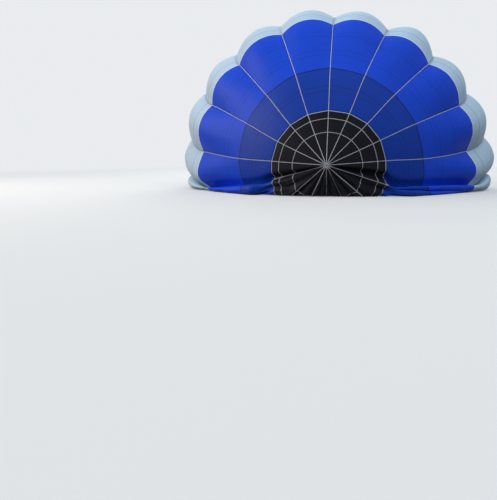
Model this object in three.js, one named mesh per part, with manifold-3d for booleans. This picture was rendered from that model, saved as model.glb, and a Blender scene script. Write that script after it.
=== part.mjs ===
// A hot air balloon laid on its side on a field for cold inflation: the crown faces -Y,
// the mouth and the tipped basket are at +Y, and the underside lies flat on the ground at Z = 0.
// The envelope is sixteen bulging gores with a load tape in each seam, a parachute valve in the
// crown opening, sixteen flying wires to the burner frame, and a wicker basket on its long side.
import * as THREE from "three";
import { mergeVertices } from "three/addons/utils/BufferGeometryUtils.js";
import Module from "manifold-3d";

const wasm = await Module();
wasm.setup();

// Driving dimensions, in millimetres and degrees.
const CLOTH = 10; // thickness of every fabric shell
const GAP = 0.5; // running and sewing gap between neighbouring solids
const SEAM_GAP = 0.5; // each gore stops this far short of its seam line
const SEAM_LIFT = 24; // height of the seams that lie on the ground, with the tape under them
const HALF_GORES = 8; // seams are numbered 0 at the top to 8 at the bottom, on each side
const GORE_COLUMNS = 5; // facets across a gore

// The balloon's meridian, as it lies. Columns: distance behind the crown, half width of the
// ring of seams, rise of the ring of seams, height of its centre, bulge of a gore over its chord.
const MERIDIAN = [
  [0, 0, 0, 2050, 0], // hub
  [1200, 3710, 3450, 2050, 0.02], // crown opening
  [2800, 6335, 6140, 2140, 0.034], // edge of the double cloth
  [5980, 9960, 9280, 2305, 0.2], // blue and white border
  [8690, 11680, 10260, 2170, 0.194], // widest ring
  [12500, 10980, 9540, 2070, 0.18], // lower border
  [15500, 8100, 7200, 1750, 0.15], // cone
  [18000, 4900, 4400, 1350, 0.09], // neck
  [19900, 2550, 2350, 1000, 0.03], // mouth
];
const OPENING = 1; // row of the table where the gores start
const VALVE_EDGE = 1.25; // the valve overlaps the gores from the opening to here
const SKIRT_TOP = 7.5; // the gores end and the fire-resistant skirt starts
const MOUTH = 8;
// The half filled envelope leans and its underside spreads over the ground, so each seam has a row.
// Columns: seam, its angle from the top in degrees at the crown, at the border and at the widest
// ring, and its reach from the axis at the same three places.
const SEAMS = [
  [-8, -180, -180, -180, 1, 1, 1],
  [-7, -156.5, -156, -156, 1.22, 1, 1],
  [-6, -133, -130, -130, 1.24, 1, 1],
  [-5, -106, -104, -96, 1.04, 0.96, 1.01],
  [-4, -85.6, -85.7, -79.7, 1, 1.007, 1.01],
  [-3, -63.4, -63.9, -58.7, 1, 1.02, 1.03],
  [-2, -41.6, -42.8, -38.8, 1, 1.03, 1.04],
  [-1, -21, -21.4, -19.6, 1, 1.04, 1.055],
  [0, 0, -0.5, -0.5, 1, 1.02, 1.03],
  [1, 21, 20.9, 19.3, 1, 0.985, 0.98],
  [2, 41.6, 43, 38.9, 1, 0.963, 0.95],
  [3, 63.4, 65.7, 59.6, 1, 0.96, 0.945],
  [4, 85.6, 86.7, 79.9, 1, 0.967, 0.955],
  [5, 109.8, 101.1, 95.7, 1.07, 0.993, 0.99],
  [6, 133, 130, 130, 1.24, 1, 1],
  [7, 156.5, 156, 156, 1.22, 1, 1],
  [8, 180, 180, 180, 1, 1, 1],
];
const BORDER = 3; // row of the table where the second angle is reached
const WIDEST = 4; // row where the third angle is reached
const REACH_END = 5; // from here the reach fades out to the mouth
const SETTLING = 0.6; // below 1, the seams turn to their second angle soon after the opening
const GORE_STATIONS = [OPENING, VALVE_EDGE, 1.6, 2, 2.25, 2.5, 2.75, 3, 3.5, 4, 4.5, 5, 5.5, 6, 6.5, 7, SKIRT_TOP];
// Down the valve, with a low rib where each ring tape is sewn on. Columns: row, height of the rib.
const VALVE_STATIONS = [
  [0.12, 0],
  [0.36, 0],
  [0.608, 0],
  [0.62, 5],
  [0.632, 0],
  [0.853, 0],
  [0.865, 5],
  [0.877, 0],
  [OPENING, 0],
  [VALVE_EDGE, 0],
];
const VALVE_CENTRE_AXIAL = 125;
const VALVE_LOWEST = 40; // the valve slides over the gores that lie on the ground

// Crown ring and the band of tape loops round it.
const RING_AXIAL = 60;
const RING_OUTER = 110;
const RING_INNER = 78;
const RING_DEPTH = 24;
const LOOP_BAND_OUTER = 265;
const LOOP_BAND_FRONT = 52;
const LOOP_BAND_BACK = 84;

// Load tapes.
const TAPE_HALF_WIDTH = 30;
const TAPE_EDGE_LIFT = 10;
const TAPE_STANDOFF = 1.5;
const TAPE_START = 0.11; // just inside the loop band

// Basket, standing: length along x, depth along y, height along z from the skids' underside.
const BASKET_LENGTH = 2100;
const BASKET_DEPTH = 1300;
const BASKET_CORNER = 150;
const WALL = 42;
const SKID_HEIGHT = 45;
const SKID_WIDTH = 60;
const SKID_SPACING = 480;
const FLOOR_BOARD = 18;
const WALL_TOP = 1110;
const RIM_HEIGHT = 80;
const RIM_OVERHANG = 22;
const SCUFF_TOP = 210;
const PARTITION_X = 0;
const PARTITION_TOP = 1060;
const STEP_HOLES = [[-620, 520], [620, 520]]; // x and z of each foothold, on both long sides
const STEP_WIDTH = 230;
const STEP_HEIGHT = 130;
const CYLINDER_RADIUS = 152;
const CYLINDER_HEIGHT = 900;
const CYLINDER_X = BASKET_LENGTH / 2 - WALL - CYLINDER_RADIUS - GAP;
const CYLINDER_Y = BASKET_DEPTH / 2 - WALL - CYLINDER_RADIUS - GAP;

// Burner frame, above the basket on four padded rods.
const FRAME_Z = 2030; // underside of the frame
const FRAME_LENGTH = 1300;
const FRAME_DEPTH = 1000;
const FRAME_TUBE = 45;
const FRAME_CORNER = 90;
const ROD_RADIUS = 34;
const GIMBAL_LENGTH = 1060;
const GIMBAL_DEPTH = 620;
const GIMBAL_BAR = 32;
const TRUNNION_RADIUS = 11;
const TRUNNION_CLEARANCE = 0.4;
const CAN_RADIUS = 150;
const CAN_WALL = 12;
const CAN_HEIGHT = 330;
const CAN_X = 200;
const LUG_HEIGHT = 62;
const LUG_THICKNESS = 12;
const LUG_HOLE = 15;
const CARABINER_BAR = 10;
const CARABINER_LENGTH = 130;
const CARABINER_WIDTH = 62;
const WIRE_SPACING = 9.5; // where the wires share a carabiner
const WIRE_END_GAP = 8.5; // from the seam line to the wire, past the end of the tape
const WIRE_RADIUS = 4;

// Where things stand along the balloon: the basket's skids are the rearmost face.
const BASKET_BASE_AXIAL = 25300;
const FRONT_AXIAL = RING_AXIAL - RING_DEPTH / 2;
const MIDDLE_AXIAL = (FRONT_AXIAL + BASKET_BASE_AXIAL) / 2;
const BASKET_REST_HEIGHT = BASKET_DEPTH / 2 + RIM_OVERHANG;
const MIDDLE_ACROSS = -218.5; // from the hub to the middle of the envelope's width

// Finishes.
const finish = (color, roughness, metalness = 0, side = THREE.FrontSide) =>
  new THREE.MeshStandardMaterial({ color, roughness, metalness, side });
const BLUE_CLOTH = finish(0x2346c8, 0.55);
const BLACK_CLOTH = finish(0x1c1a1f, 0.6);
const TAPE = finish(0xb9b7bd, 0.7);
const ALUMINIUM = finish(0xc4c7ca, 0.35, 1);
const STAINLESS = finish(0xb4b6b8, 0.3, 1);
const WICKER = finish(0x9a6b3c, 0.8);
const SUEDE = finish(0x5a3d28, 0.75);
const TIMBER = finish(0xa9825a, 0.7);
const PADDING = finish(0x27272b, 0.7);
const COILS = finish(0xa7a39a, 0.35, 1);

// General solid making.

const vec = (x, y, z) => new THREE.Vector3(x, y, z);
const mix = (a, b, w) => a + (b - a) * w;
const smooth = (w) => w * w * (3 - 2 * w);
const clamp01 = (w) => Math.min(Math.max(w, 0), 1);

// A geometry from points and triangles, turned the right way out.
function closedBody(points, triangles) {
  let sixVolumes = 0;
  for (const [a, b, c] of triangles)
    sixVolumes += points[a].dot(points[b].clone().cross(points[c]));
  const geometry = new THREE.BufferGeometry().setFromPoints(points);
  geometry.setIndex(triangles.flatMap(([a, b, c]) => (sixVolumes > 0 ? [a, b, c] : [a, c, b])));
  return geometry;
}

// The shell between two grids of the same size. A wrapped grid closes on itself across.
function shellBetween(outer, inner, wrap = false) {
  const rows = outer.length;
  const columns = outer[0].length;
  const points = [...outer.flat(), ...inner.flat()];
  const triangles = [];
  const id = (side, j, i) => side * rows * columns + j * columns + (i % columns);
  const quad = (a, b, c, d) => triangles.push([a, b, c], [a, c, d]);
  const last = wrap ? columns : columns - 1;
  for (let i = 0; i < last; i++) {
    for (let j = 0; j + 1 < rows; j++) {
      quad(id(0, j, i), id(0, j, i + 1), id(0, j + 1, i + 1), id(0, j + 1, i));
      quad(id(1, j, i), id(1, j + 1, i), id(1, j + 1, i + 1), id(1, j, i + 1));
    }
    quad(id(0, 0, i), id(1, 0, i), id(1, 0, i + 1), id(0, 0, i + 1));
    quad(id(0, rows - 1, i), id(0, rows - 1, i + 1), id(1, rows - 1, i + 1), id(1, rows - 1, i));
  }
  if (!wrap)
    for (let j = 0; j + 1 < rows; j++) {
      quad(id(1, j, 0), id(0, j, 0), id(0, j + 1, 0), id(1, j + 1, 0));
      quad(id(1, j, last), id(1, j + 1, last), id(0, j + 1, last), id(0, j, last));
    }
  return closedBody(points, triangles);
}

// A solid through a row of loops that have the same number of points, with flat ends.
function loft(sections) {
  const n = sections[0].length;
  const triangles = [];
  for (let j = 0; j + 1 < sections.length; j++)
    for (let i = 0; i < n; i++) {
      const [a, b] = [j * n + i, j * n + ((i + 1) % n)];
      triangles.push([a, b, b + n], [a, b + n, a + n]);
    }
  const end = (sections.length - 1) * n;
  for (let i = 1; i + 1 < n; i++) triangles.push([0, i + 1, i], [end, end + i, end + i + 1]);
  return closedBody(sections.flat(), triangles);
}

// A round bar between two points, with a chosen number of sides.
function bar(from, to, radius, sides = 6) {
  const along = to.clone().sub(from).normalize();
  const across = Math.abs(along.z) < 0.9 ? vec(0, 0, 1) : vec(1, 0, 0);
  const u = across.clone().cross(along).normalize();
  const w = along.clone().cross(u);
  const loop = (centre) =>
    Array.from({ length: sides }, (_, i) => {
      const turn = (2 * Math.PI * (i + 0.5)) / sides;
      return centre
        .clone()
        .addScaledVector(u, radius * Math.cos(turn))
        .addScaledVector(w, radius * Math.sin(turn));
    });
  return loft([loop(from), loop(to)]);
}

// A box from its lowest and highest corners.
function block(x0, y0, z0, x1, y1, z1) {
  return new THREE.BoxGeometry(x1 - x0, y1 - y0, z1 - z0).translate(
    (x0 + x1) / 2,
    (y0 + y1) / 2,
    (z0 + z1) / 2,
  );
}

function solidOf(geometry) {
  const bare = new THREE.BufferGeometry();
  bare.setAttribute("position", geometry.getAttribute("position").clone());
  bare.setIndex(geometry.index ? geometry.index.clone() : null);
  const merged = mergeVertices(bare, 1e-3);
  return new wasm.Manifold(
    new wasm.Mesh({
      numProp: 3,
      vertProperties: merged.attributes.position.array,
      triVerts: new Uint32Array(merged.index.array),
    }),
  );
}

function geometryOf(solid) {
  const mesh = solid.getMesh();
  const geometry = new THREE.BufferGeometry();
  geometry.setAttribute("position", new THREE.BufferAttribute(mesh.vertProperties, 3));
  geometry.setIndex(new THREE.BufferAttribute(mesh.triVerts, 1));
  return geometry;
}

const joined = (...geometries) =>
  geometryOf(geometries.map(solidOf).reduce((all, next) => all.add(next)));
const without = (geometry, ...tools) =>
  geometryOf(tools.map(solidOf).reduce((all, tool) => all.subtract(tool), solidOf(geometry)));

// A rectangle with round corners, centred on the axis.
function roundedRectangle(length, depth, radius) {
  const [x, y] = [length / 2, depth / 2];
  const shape = new THREE.Shape();
  shape.moveTo(-x + radius, -y);
  shape.lineTo(x - radius, -y);
  shape.absarc(x - radius, -y + radius, radius, -Math.PI / 2, 0);
  shape.absarc(x - radius, y - radius, radius, 0, Math.PI / 2);
  shape.absarc(-x + radius, y - radius, radius, Math.PI / 2, Math.PI);
  shape.absarc(-x + radius, -y + radius, radius, Math.PI, 1.5 * Math.PI);
  return shape;
}

// A flat ring with round corners between two heights.
function roundedRing(length, depth, radius, width, z0, z1, curveSegments = 2) {
  const shape = roundedRectangle(length, depth, radius);
  const innerRadius = Math.max(radius - width, 5);
  shape.holes.push(roundedRectangle(length - 2 * width, depth - 2 * width, innerRadius));
  const options = { depth: z1 - z0, bevelEnabled: false, curveSegments };
  return new THREE.ExtrudeGeometry(shape, options).translate(0, 0, z0);
}

function namedMesh(name, geometry, material) {
  const mesh = new THREE.Mesh(geometry, material);
  mesh.name = name;
  return mesh;
}

// The envelope's surface. Row is a place down the meridian, from 0 at the hub to 8 at the mouth.

function meridian(row) {
  const last = MERIDIAN.length - 1;
  const i = Math.min(Math.max(Math.floor(row), 0), last - 1);
  const w = row - i;
  const rowAt = (n) => MERIDIAN[Math.min(Math.max(n, 0), last)];
  const [p0, p1, p2, p3] = [rowAt(i - 1), rowAt(i), rowAt(i + 1), rowAt(i + 2)];
  const [axial, halfWidth, rise, axisHeight, bulge] = p1.map((start, c) => {
    const [v0, v1] = [(p2[c] - p0[c]) / 2, (p3[c] - p1[c]) / 2];
    const cubic = 2 * start - 2 * p2[c] + v0 + v1;
    const square = -3 * start + 3 * p2[c] - 2 * v0 - v1;
    return ((cubic * w + square) * w + v0) * w + start;
  });
  return { axial, halfWidth, rise, axisHeight, bulge };
}

// A seam's angle from the top at a row, in radians, and its reach.
function seamCourse(seam, row) {
  const [, crown, border, widest, crownReach, borderReach, widestReach] = SEAMS[seam + HALF_GORES];
  const spreading = smooth(clamp01(row / OPENING));
  const first = smooth(clamp01((row - OPENING) / (BORDER - OPENING)) ** SETTLING);
  const second = smooth(clamp01((row - BORDER) / (WIDEST - BORDER)));
  const fading = smooth(clamp01((row - REACH_END) / (MOUTH - REACH_END)));
  const nearCrown = mix(1, crownReach, spreading);
  return {
    angle: THREE.MathUtils.degToRad(mix(mix(crown, border, first), widest, second)),
    reach: mix(mix(mix(nearCrown, borderReach, first), widestReach, second), 1, fading),
  };
}

// A point on a seam line. Seams that would be underground lie on the ground.
function seamPoint(seam, row) {
  const m = meridian(row);
  const { angle, reach } = seamCourse(seam, row);
  const z = m.axisHeight + m.rise * reach * Math.cos(angle);
  return vec(m.halfWidth * reach * Math.sin(angle), m.axial, Math.max(z, SEAM_LIFT));
}

// A point on the gore between two seams, v from 0 to 1 across it.
function gorePoint(gore, v, row) {
  const [a, b] = [seamPoint(gore, row), seamPoint(gore + 1, row)];
  const m = meridian(row);
  const step = 0.01;
  const [before, after] = [meridian(Math.max(row - step, 0)), meridian(Math.min(row + step, MOUTH))];
  const slope = new THREE.Vector2(
    after.axial - before.axial,
    (after.halfWidth + after.rise - before.halfWidth - before.rise) / 2,
  ).normalize();
  const chord = b.clone().sub(a);
  const outward = vec(-chord.z, 0, chord.x).normalize();
  const middle = a.clone().add(b).multiplyScalar(0.5);
  if (outward.x * middle.x + outward.z * (middle.z - m.axisHeight) < 0) outward.negate();
  const sagitta = m.bulge * chord.length() * 4 * v * (1 - v);
  const point = a.addScaledVector(chord, v);
  point.addScaledVector(outward, sagitta * slope.x).add(vec(0, -sagitta * slope.y, 0));
  point.z = Math.max(point.z, 0);
  return point;
}

// The outward direction of one gore at a point on it.
function goreNormal(gore, v, row) {
  const [dv, dr] = [0.02, 0.03];
  const across = gorePoint(gore, Math.min(v + dv, 1), row).sub(gorePoint(gore, Math.max(v - dv, 0), row));
  const down = gorePoint(gore, v, Math.min(row + dr, MOUTH)).sub(gorePoint(gore, v, Math.max(row - dr, 0)));
  const normal = across.cross(down).normalize();
  const m = meridian(row);
  const point = gorePoint(gore, v, row);
  const fromAxis = vec(point.x, -m.rise * 0.3, point.z - m.axisHeight);
  return normal.dot(fromAxis) < 0 ? normal.negate() : normal;
}

const wrapGore = (gore) => (gore > 7 ? gore - 16 : gore < -8 ? gore + 16 : gore);

// The outward direction at a seam, halfway between those of the gores beside it, and straight down
// where the seam lies on the ground.
function seamNormal(seam, row) {
  if (seamPoint(seam, row).z <= SEAM_LIFT) return vec(0, 0, -1);
  const left = goreNormal(wrapGore(seam - 1), 1, row);
  const right = goreNormal(wrapGore(seam), 0, row);
  return left.add(right).normalize();
}

// A column of a gore, offset inwards by a depth. The outermost columns stop short of the seams.
function gorePointInside(gore, column, row, depth, edgeGap) {
  const v = column / GORE_COLUMNS;
  const point = gorePoint(gore, v, row);
  let normal = goreNormal(gore, v, row);
  if (column === 0) normal = seamNormal(gore, row);
  if (column === GORE_COLUMNS) normal = seamNormal(wrapGore(gore + 1), row);
  if (edgeGap && (column === 0 || column === GORE_COLUMNS)) {
    const inboard = gorePoint(gore, v + (column ? -1 : 1) / GORE_COLUMNS, row).sub(point);
    point.addScaledVector(inboard.setY(0).normalize(), edgeGap);
  }
  return point.addScaledVector(normal, -depth);
}

function makeGore(gore) {
  const grid = (depth) =>
    GORE_STATIONS.map((row) =>
      Array.from({ length: GORE_COLUMNS + 1 }, (_, column) =>
        gorePointInside(gore, column, row, depth, SEAM_GAP),
      ),
    );
  return shellBetween(grid(0), grid(CLOTH));
}

// A row of points right round the envelope, at a depth inside its surface.
function ringAround(row, depth) {
  const gores = Array.from({ length: 2 * HALF_GORES }, (_, i) => i - HALF_GORES);
  const columns = Array.from({ length: GORE_COLUMNS }, (_, column) => column);
  return gores.flatMap((gore) => columns.map((column) => gorePointInside(gore, column, row, depth, 0)));
}

// The skirt carries the gores' surface on to the mouth.
function makeSkirt() {
  const rows = [SKIRT_TOP, MOUTH];
  const [outer, inner] = [0, CLOTH].map((depth) => rows.map((row) => ringAround(row, depth)));
  for (const point of [...outer[0], ...inner[0]]) point.y += GAP;
  return shellBetween(outer, inner, true);
}

// The parachute valve: a disc of cloth just inside the crown opening and the edges of the gores.
function makeValve() {
  const outer = VALVE_STATIONS.map(([row, rib]) => ringAround(row, CLOTH + GAP - rib));
  const inner = VALVE_STATIONS.map(([row]) => ringAround(row, 2 * CLOTH + GAP));
  for (const point of outer.flat()) point.z = Math.max(point.z, VALVE_LOWEST);
  for (const point of inner.flat()) point.z = Math.max(point.z, VALVE_LOWEST + CLOTH);
  const columns = outer[0].length;
  const ring = shellBetween(outer, inner, true);
  // The hole in the middle is closed by a shallow plug that shares the ring's edge.
  const centre = (depth) => vec(0, VALVE_CENTRE_AXIAL + depth, MERIDIAN[0][3]);
  const plug = [...outer[0], ...inner[0], centre(0), centre(CLOTH)];
  const triangles = [];
  for (let i = 0; i < columns; i++) {
    const next = (i + 1) % columns;
    triangles.push([2 * columns, next, i], [2 * columns + 1, columns + i, columns + next]);
    triangles.push([i, next, columns + next], [i, columns + next, columns + i]);
  }
  return joined(ring, closedBody(plug, triangles));
}

// One load tape, lying in the valley between two gores from the crown to the mouth.
function makeTape(seam) {
  const insideOpening = VALVE_STATIONS.slice(1, -2).map(([row]) => row);
  const stations = [TAPE_START, ...insideOpening, ...GORE_STATIONS, MOUTH];
  const sections = stations.map((row) => {
    const point = seamPoint(seam, row);
    const out = seamNormal(seam, row);
    const foot = point.clone().addScaledVector(out, TAPE_STANDOFF);
    const edge = (gore, v) => {
      const along = gorePoint(wrapGore(gore), v, row).sub(point).normalize();
      const lifted = foot.clone().addScaledVector(along, TAPE_HALF_WIDTH);
      return lifted.addScaledVector(out, TAPE_EDGE_LIFT);
    };
    return [foot, edge(seam - 1, 1 - 1 / GORE_COLUMNS), edge(seam, 1 / GORE_COLUMNS)];
  });
  return loft(sections);
}

function ringAtCrown(outer, inner, front, back, sides) {
  const profile = [[inner, front], [outer, front], [outer, back], [inner, back], [inner, front]];
  return new THREE.LatheGeometry(profile.map(([r, a]) => new THREE.Vector2(r, a)), sides).translate(
    0,
    0,
    MERIDIAN[0][3],
  );
}

// Lathe turns about +Y, which is the balloon's own axis, so only the height is added.
function makeCrownRing() {
  const geometry = ringAtCrown(
    RING_OUTER,
    RING_INNER,
    RING_AXIAL - RING_DEPTH / 2,
    RING_AXIAL + RING_DEPTH / 2,
    32,
  );
  return geometryOf(solidOf(geometry));
}

function makeTapes() {
  const band = ringAtCrown(
    LOOP_BAND_OUTER,
    RING_OUTER + GAP,
    LOOP_BAND_FRONT,
    LOOP_BAND_BACK,
    32,
  );
  const tapes = Array.from({ length: 2 * HALF_GORES }, (_, i) => makeTape(i - HALF_GORES + 1));
  return joined(band, ...tapes);
}

// Basket pieces, standing upright on the skids.

const floorTop = SKID_HEIGHT + FLOOR_BOARD;
const wallBottom = floorTop + GAP;

function makeBasketWall() {
  const ring = roundedRing(BASKET_LENGTH, BASKET_DEPTH, BASKET_CORNER, WALL, wallBottom, WALL_TOP, 3);
  const holes = STEP_HOLES.map(([x, z]) =>
    block(
      x - STEP_WIDTH / 2,
      -BASKET_DEPTH,
      z - STEP_HEIGHT / 2,
      x + STEP_WIDTH / 2,
      BASKET_DEPTH,
      z + STEP_HEIGHT / 2,
    ),
  );
  return without(ring, ...holes);
}

function makeFloor() {
  const shape = roundedRectangle(BASKET_LENGTH, BASKET_DEPTH, BASKET_CORNER);
  const options = { depth: FLOOR_BOARD, bevelEnabled: false, curveSegments: 3 };
  return new THREE.ExtrudeGeometry(shape, options).translate(0, 0, SKID_HEIGHT);
}

function makeSkid(y) {
  const half = BASKET_LENGTH / 2 - BASKET_CORNER;
  return block(-half, y - SKID_WIDTH / 2, 0, half, y + SKID_WIDTH / 2, SKID_HEIGHT - GAP);
}

// The padded rim: an octagon carried round the top of the wall.
function makeRim() {
  const bottom = WALL_TOP + GAP;
  const chamfer = 22;
  const width = WALL + 2 * RIM_OVERHANG;
  const layers = [
    [chamfer, bottom],
    [0, bottom + chamfer],
    [0, bottom + RIM_HEIGHT - chamfer],
    [chamfer, bottom + RIM_HEIGHT],
  ];
  const loopAt = (inset, z) =>
    roundedRectangle(
      BASKET_LENGTH + 2 * RIM_OVERHANG - 2 * inset,
      BASKET_DEPTH + 2 * RIM_OVERHANG - 2 * inset,
      BASKET_CORNER + RIM_OVERHANG - inset,
    )
      .getPoints(3)
      .slice(0, -1)
      .map((p) => vec(p.x, p.y, z));
  const outside = layers.map(([inset, z]) => loopAt(inset, z));
  const inside = layers.map(([inset, z]) => loopAt(width - inset, z));
  return shellBetween(outside, inside, true);
}

function makeScuffBand() {
  return roundedRing(
    BASKET_LENGTH + 2 * RIM_OVERHANG,
    BASKET_DEPTH + 2 * RIM_OVERHANG,
    BASKET_CORNER + RIM_OVERHANG,
    RIM_OVERHANG - GAP,
    SKID_HEIGHT,
    SCUFF_TOP,
    3,
  );
}

function makePartition() {
  const half = BASKET_DEPTH / 2 - WALL - GAP;
  const shape = new THREE.Shape();
  shape.moveTo(-WALL / 2, 0);
  shape.lineTo(WALL / 2, 0);
  shape.absarc(0, PARTITION_TOP - wallBottom - WALL / 2, WALL / 2, 0, Math.PI);
  const options = { depth: 2 * half, bevelEnabled: false, curveSegments: 6 };
  return new THREE.ExtrudeGeometry(shape, options)
    .rotateX(Math.PI / 2)
    .translate(PARTITION_X, half, wallBottom);
}

// A fuel cylinder with a foot ring, domed shoulders and a collar round the valve.
function makeCylinder() {
  const r = CYLINDER_RADIUS;
  const top = CYLINDER_HEIGHT;
  const profile = [
    [0, 30],
    [r * 0.8, 30],
    [r * 0.8, 0],
    [r * 0.9, 0],
    [r, 90],
    [r, top - 170],
    [r * 0.82, top - 95],
    [r * 0.52, top - 70],
    [r * 0.52, top],
    [0, top],
  ];
  return new THREE.LatheGeometry(profile.map(([x, y]) => new THREE.Vector2(x, y)), 14).rotateX(
    Math.PI / 2,
  );
}

// Burner frame, gimbal and burners, above the basket.

const frameMiddle = FRAME_Z + FRAME_TUBE / 2;
const cornerX = FRAME_LENGTH / 2 - FRAME_TUBE / 2;
const cornerY = FRAME_DEPTH / 2 - FRAME_TUBE / 2;
const lugX = cornerX - 40;
const lugY = cornerY;
const lugHoleZ = FRAME_Z + FRAME_TUBE + LUG_HEIGHT - 28;
const trunnionHole = (TRUNNION_RADIUS + TRUNNION_CLEARANCE) / Math.cos(Math.PI / 12);

// A plate on the frame's top with a hole for a carabiner.
function makeLug(x, y) {
  const z0 = FRAME_Z + FRAME_TUBE;
  const plate = block(x - 26, y - LUG_THICKNESS / 2, z0 - 5, x + 26, y + LUG_THICKNESS / 2, z0 + LUG_HEIGHT);
  const hole = bar(vec(x, y - 50, lugHoleZ), vec(x, y + 50, lugHoleZ), LUG_HOLE, 12);
  return without(plate, hole);
}

function makeFrame() {
  const ring = roundedRing(
    FRAME_LENGTH,
    FRAME_DEPTH,
    FRAME_CORNER,
    FRAME_TUBE,
    FRAME_Z,
    FRAME_Z + FRAME_TUBE,
  );
  const lugs = [-1, 1].flatMap((sx) => [-1, 1].map((sy) => makeLug(sx * lugX, sy * lugY)));
  const inside = FRAME_LENGTH / 2 - FRAME_TUBE;
  const bores = [-1, 1].map((sx) =>
    bar(vec(sx * (inside - 60), 0, frameMiddle), vec(sx * (inside + 30), 0, frameMiddle), trunnionHole, 12),
  );
  return without(joined(ring, ...lugs), ...bores);
}

// The gimbal ring swings on two trunnions in the frame's short sides.
function makeGimbal() {
  const ring = roundedRing(
    GIMBAL_LENGTH,
    GIMBAL_DEPTH,
    60,
    GIMBAL_BAR,
    frameMiddle - GIMBAL_BAR / 2,
    frameMiddle + GIMBAL_BAR / 2,
  );
  const end = FRAME_LENGTH / 2 - FRAME_TUBE + 25;
  const trunnions = [-1, 1].map((sx) =>
    bar(
      vec((sx * (GIMBAL_LENGTH - GIMBAL_BAR)) / 2, 0, frameMiddle),
      vec(sx * end, 0, frameMiddle),
      TRUNNION_RADIUS,
      12,
    ),
  );
  const inside = GIMBAL_DEPTH / 2 - GIMBAL_BAR;
  const bores = [-1, 1].map((sy) =>
    bar(vec(0, sy * (inside - 40), frameMiddle), vec(0, sy * (inside + 20), frameMiddle), trunnionHole, 12),
  );
  return without(joined(ring, ...trunnions), ...bores);
}

const beamTop = frameMiddle + 30;

// The cross beam with its trunnions, the two valve blocks and their levers.
function makeBurnerBeam() {
  const end = GIMBAL_DEPTH / 2 - GIMBAL_BAR + 15;
  const beam = block(-380, -28, frameMiddle - 30, 380, 28, beamTop);
  const crossBar = block(-24, -200, frameMiddle - 22, 24, 200, frameMiddle + 22);
  const trunnions = [-1, 1].map((sy) =>
    bar(vec(0, sy * 190, frameMiddle), vec(0, sy * end, frameMiddle), TRUNNION_RADIUS, 12),
  );
  const blocks = [-1, 1].map((sx) =>
    block(sx * CAN_X - 55, -55, frameMiddle - 75, sx * CAN_X + 55, 55, frameMiddle + 10),
  );
  const levers = [-1, 1].map((sx) =>
    bar(vec(sx * CAN_X, 40, frameMiddle - 60), vec(sx * CAN_X, 190, frameMiddle - 95), 11, 6),
  );
  return joined(beam, crossBar, ...trunnions, ...blocks, ...levers);
}

// A burner: an open can of vaporiser coils round a jet ring, on three legs.
function makeBurner(x) {
  const bottom = beamTop + 70;
  const legBottom = beamTop + GAP;
  const [outer, inner] = [CAN_RADIUS, CAN_RADIUS - CAN_WALL];
  const can = [
    [inner - 8, bottom],
    [outer - 8, bottom],
    [outer, bottom + 25],
    [outer, bottom + CAN_HEIGHT - 20],
    [outer - 12, bottom + CAN_HEIGHT],
    [inner - 12, bottom + CAN_HEIGHT],
    [inner, bottom + CAN_HEIGHT - 20],
    [inner, bottom + 25],
    [inner - 8, bottom],
  ];
  const lathed = (profile, sides) =>
    new THREE.LatheGeometry(profile.map(([r, z]) => new THREE.Vector2(r, z)), sides)
      .rotateX(Math.PI / 2)
      .translate(x, 0, 0);
  const shell = lathed(can, 16);
  const jetRing = new THREE.TorusGeometry(70, 9, 5, 12).translate(x, 0, bottom + 20);
  const stem = bar(vec(x, 0, legBottom), vec(x, 0, bottom + 30), 20, 8);
  const spokes = [0, 1, 2].map((i) => {
    const turn = (2 * Math.PI * i) / 3 + Math.PI / 2;
    const reach = (r, z) => vec(x + r * Math.cos(turn), r * Math.sin(turn), z);
    return bar(reach(0, bottom + 20), reach(outer - 6, bottom + 20), 8, 6);
  });
  return { shell, others: [jetRing, stem, ...spokes] };
}

// The padded rods lean inwards from the basket's corners to the frame's.
function makeRod(sx, sy) {
  const bottom = WALL_TOP + GAP + RIM_HEIGHT + GAP;
  const top = FRAME_Z - GAP;
  const foot = vec(sx * (BASKET_LENGTH / 2 - 120), sy * (BASKET_DEPTH / 2 - WALL / 2), bottom);
  const head = vec(sx * (cornerX - 50), sy * cornerY, top);
  const loop = (centre, radius) =>
    Array.from({ length: 10 }, (_, i) => {
      const turn = (2 * Math.PI * i) / 10;
      return vec(centre.x + radius * Math.cos(turn), centre.y + radius * Math.sin(turn), centre.z);
    });
  const at = (w) => foot.clone().lerp(head, w);
  return loft([
    loop(foot, ROD_RADIUS * 0.62),
    loop(at(0.06), ROD_RADIUS),
    loop(at(0.94), ROD_RADIUS),
    loop(head, ROD_RADIUS * 0.6),
  ]);
}

// From the basket's own standing frame to where it lies: up becomes towards the crown.
const layDown = new THREE.Matrix4()
  .makeTranslation(0, BASKET_BASE_AXIAL, BASKET_REST_HEIGHT)
  .multiply(new THREE.Matrix4().makeRotationX(Math.PI / 2));

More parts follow.
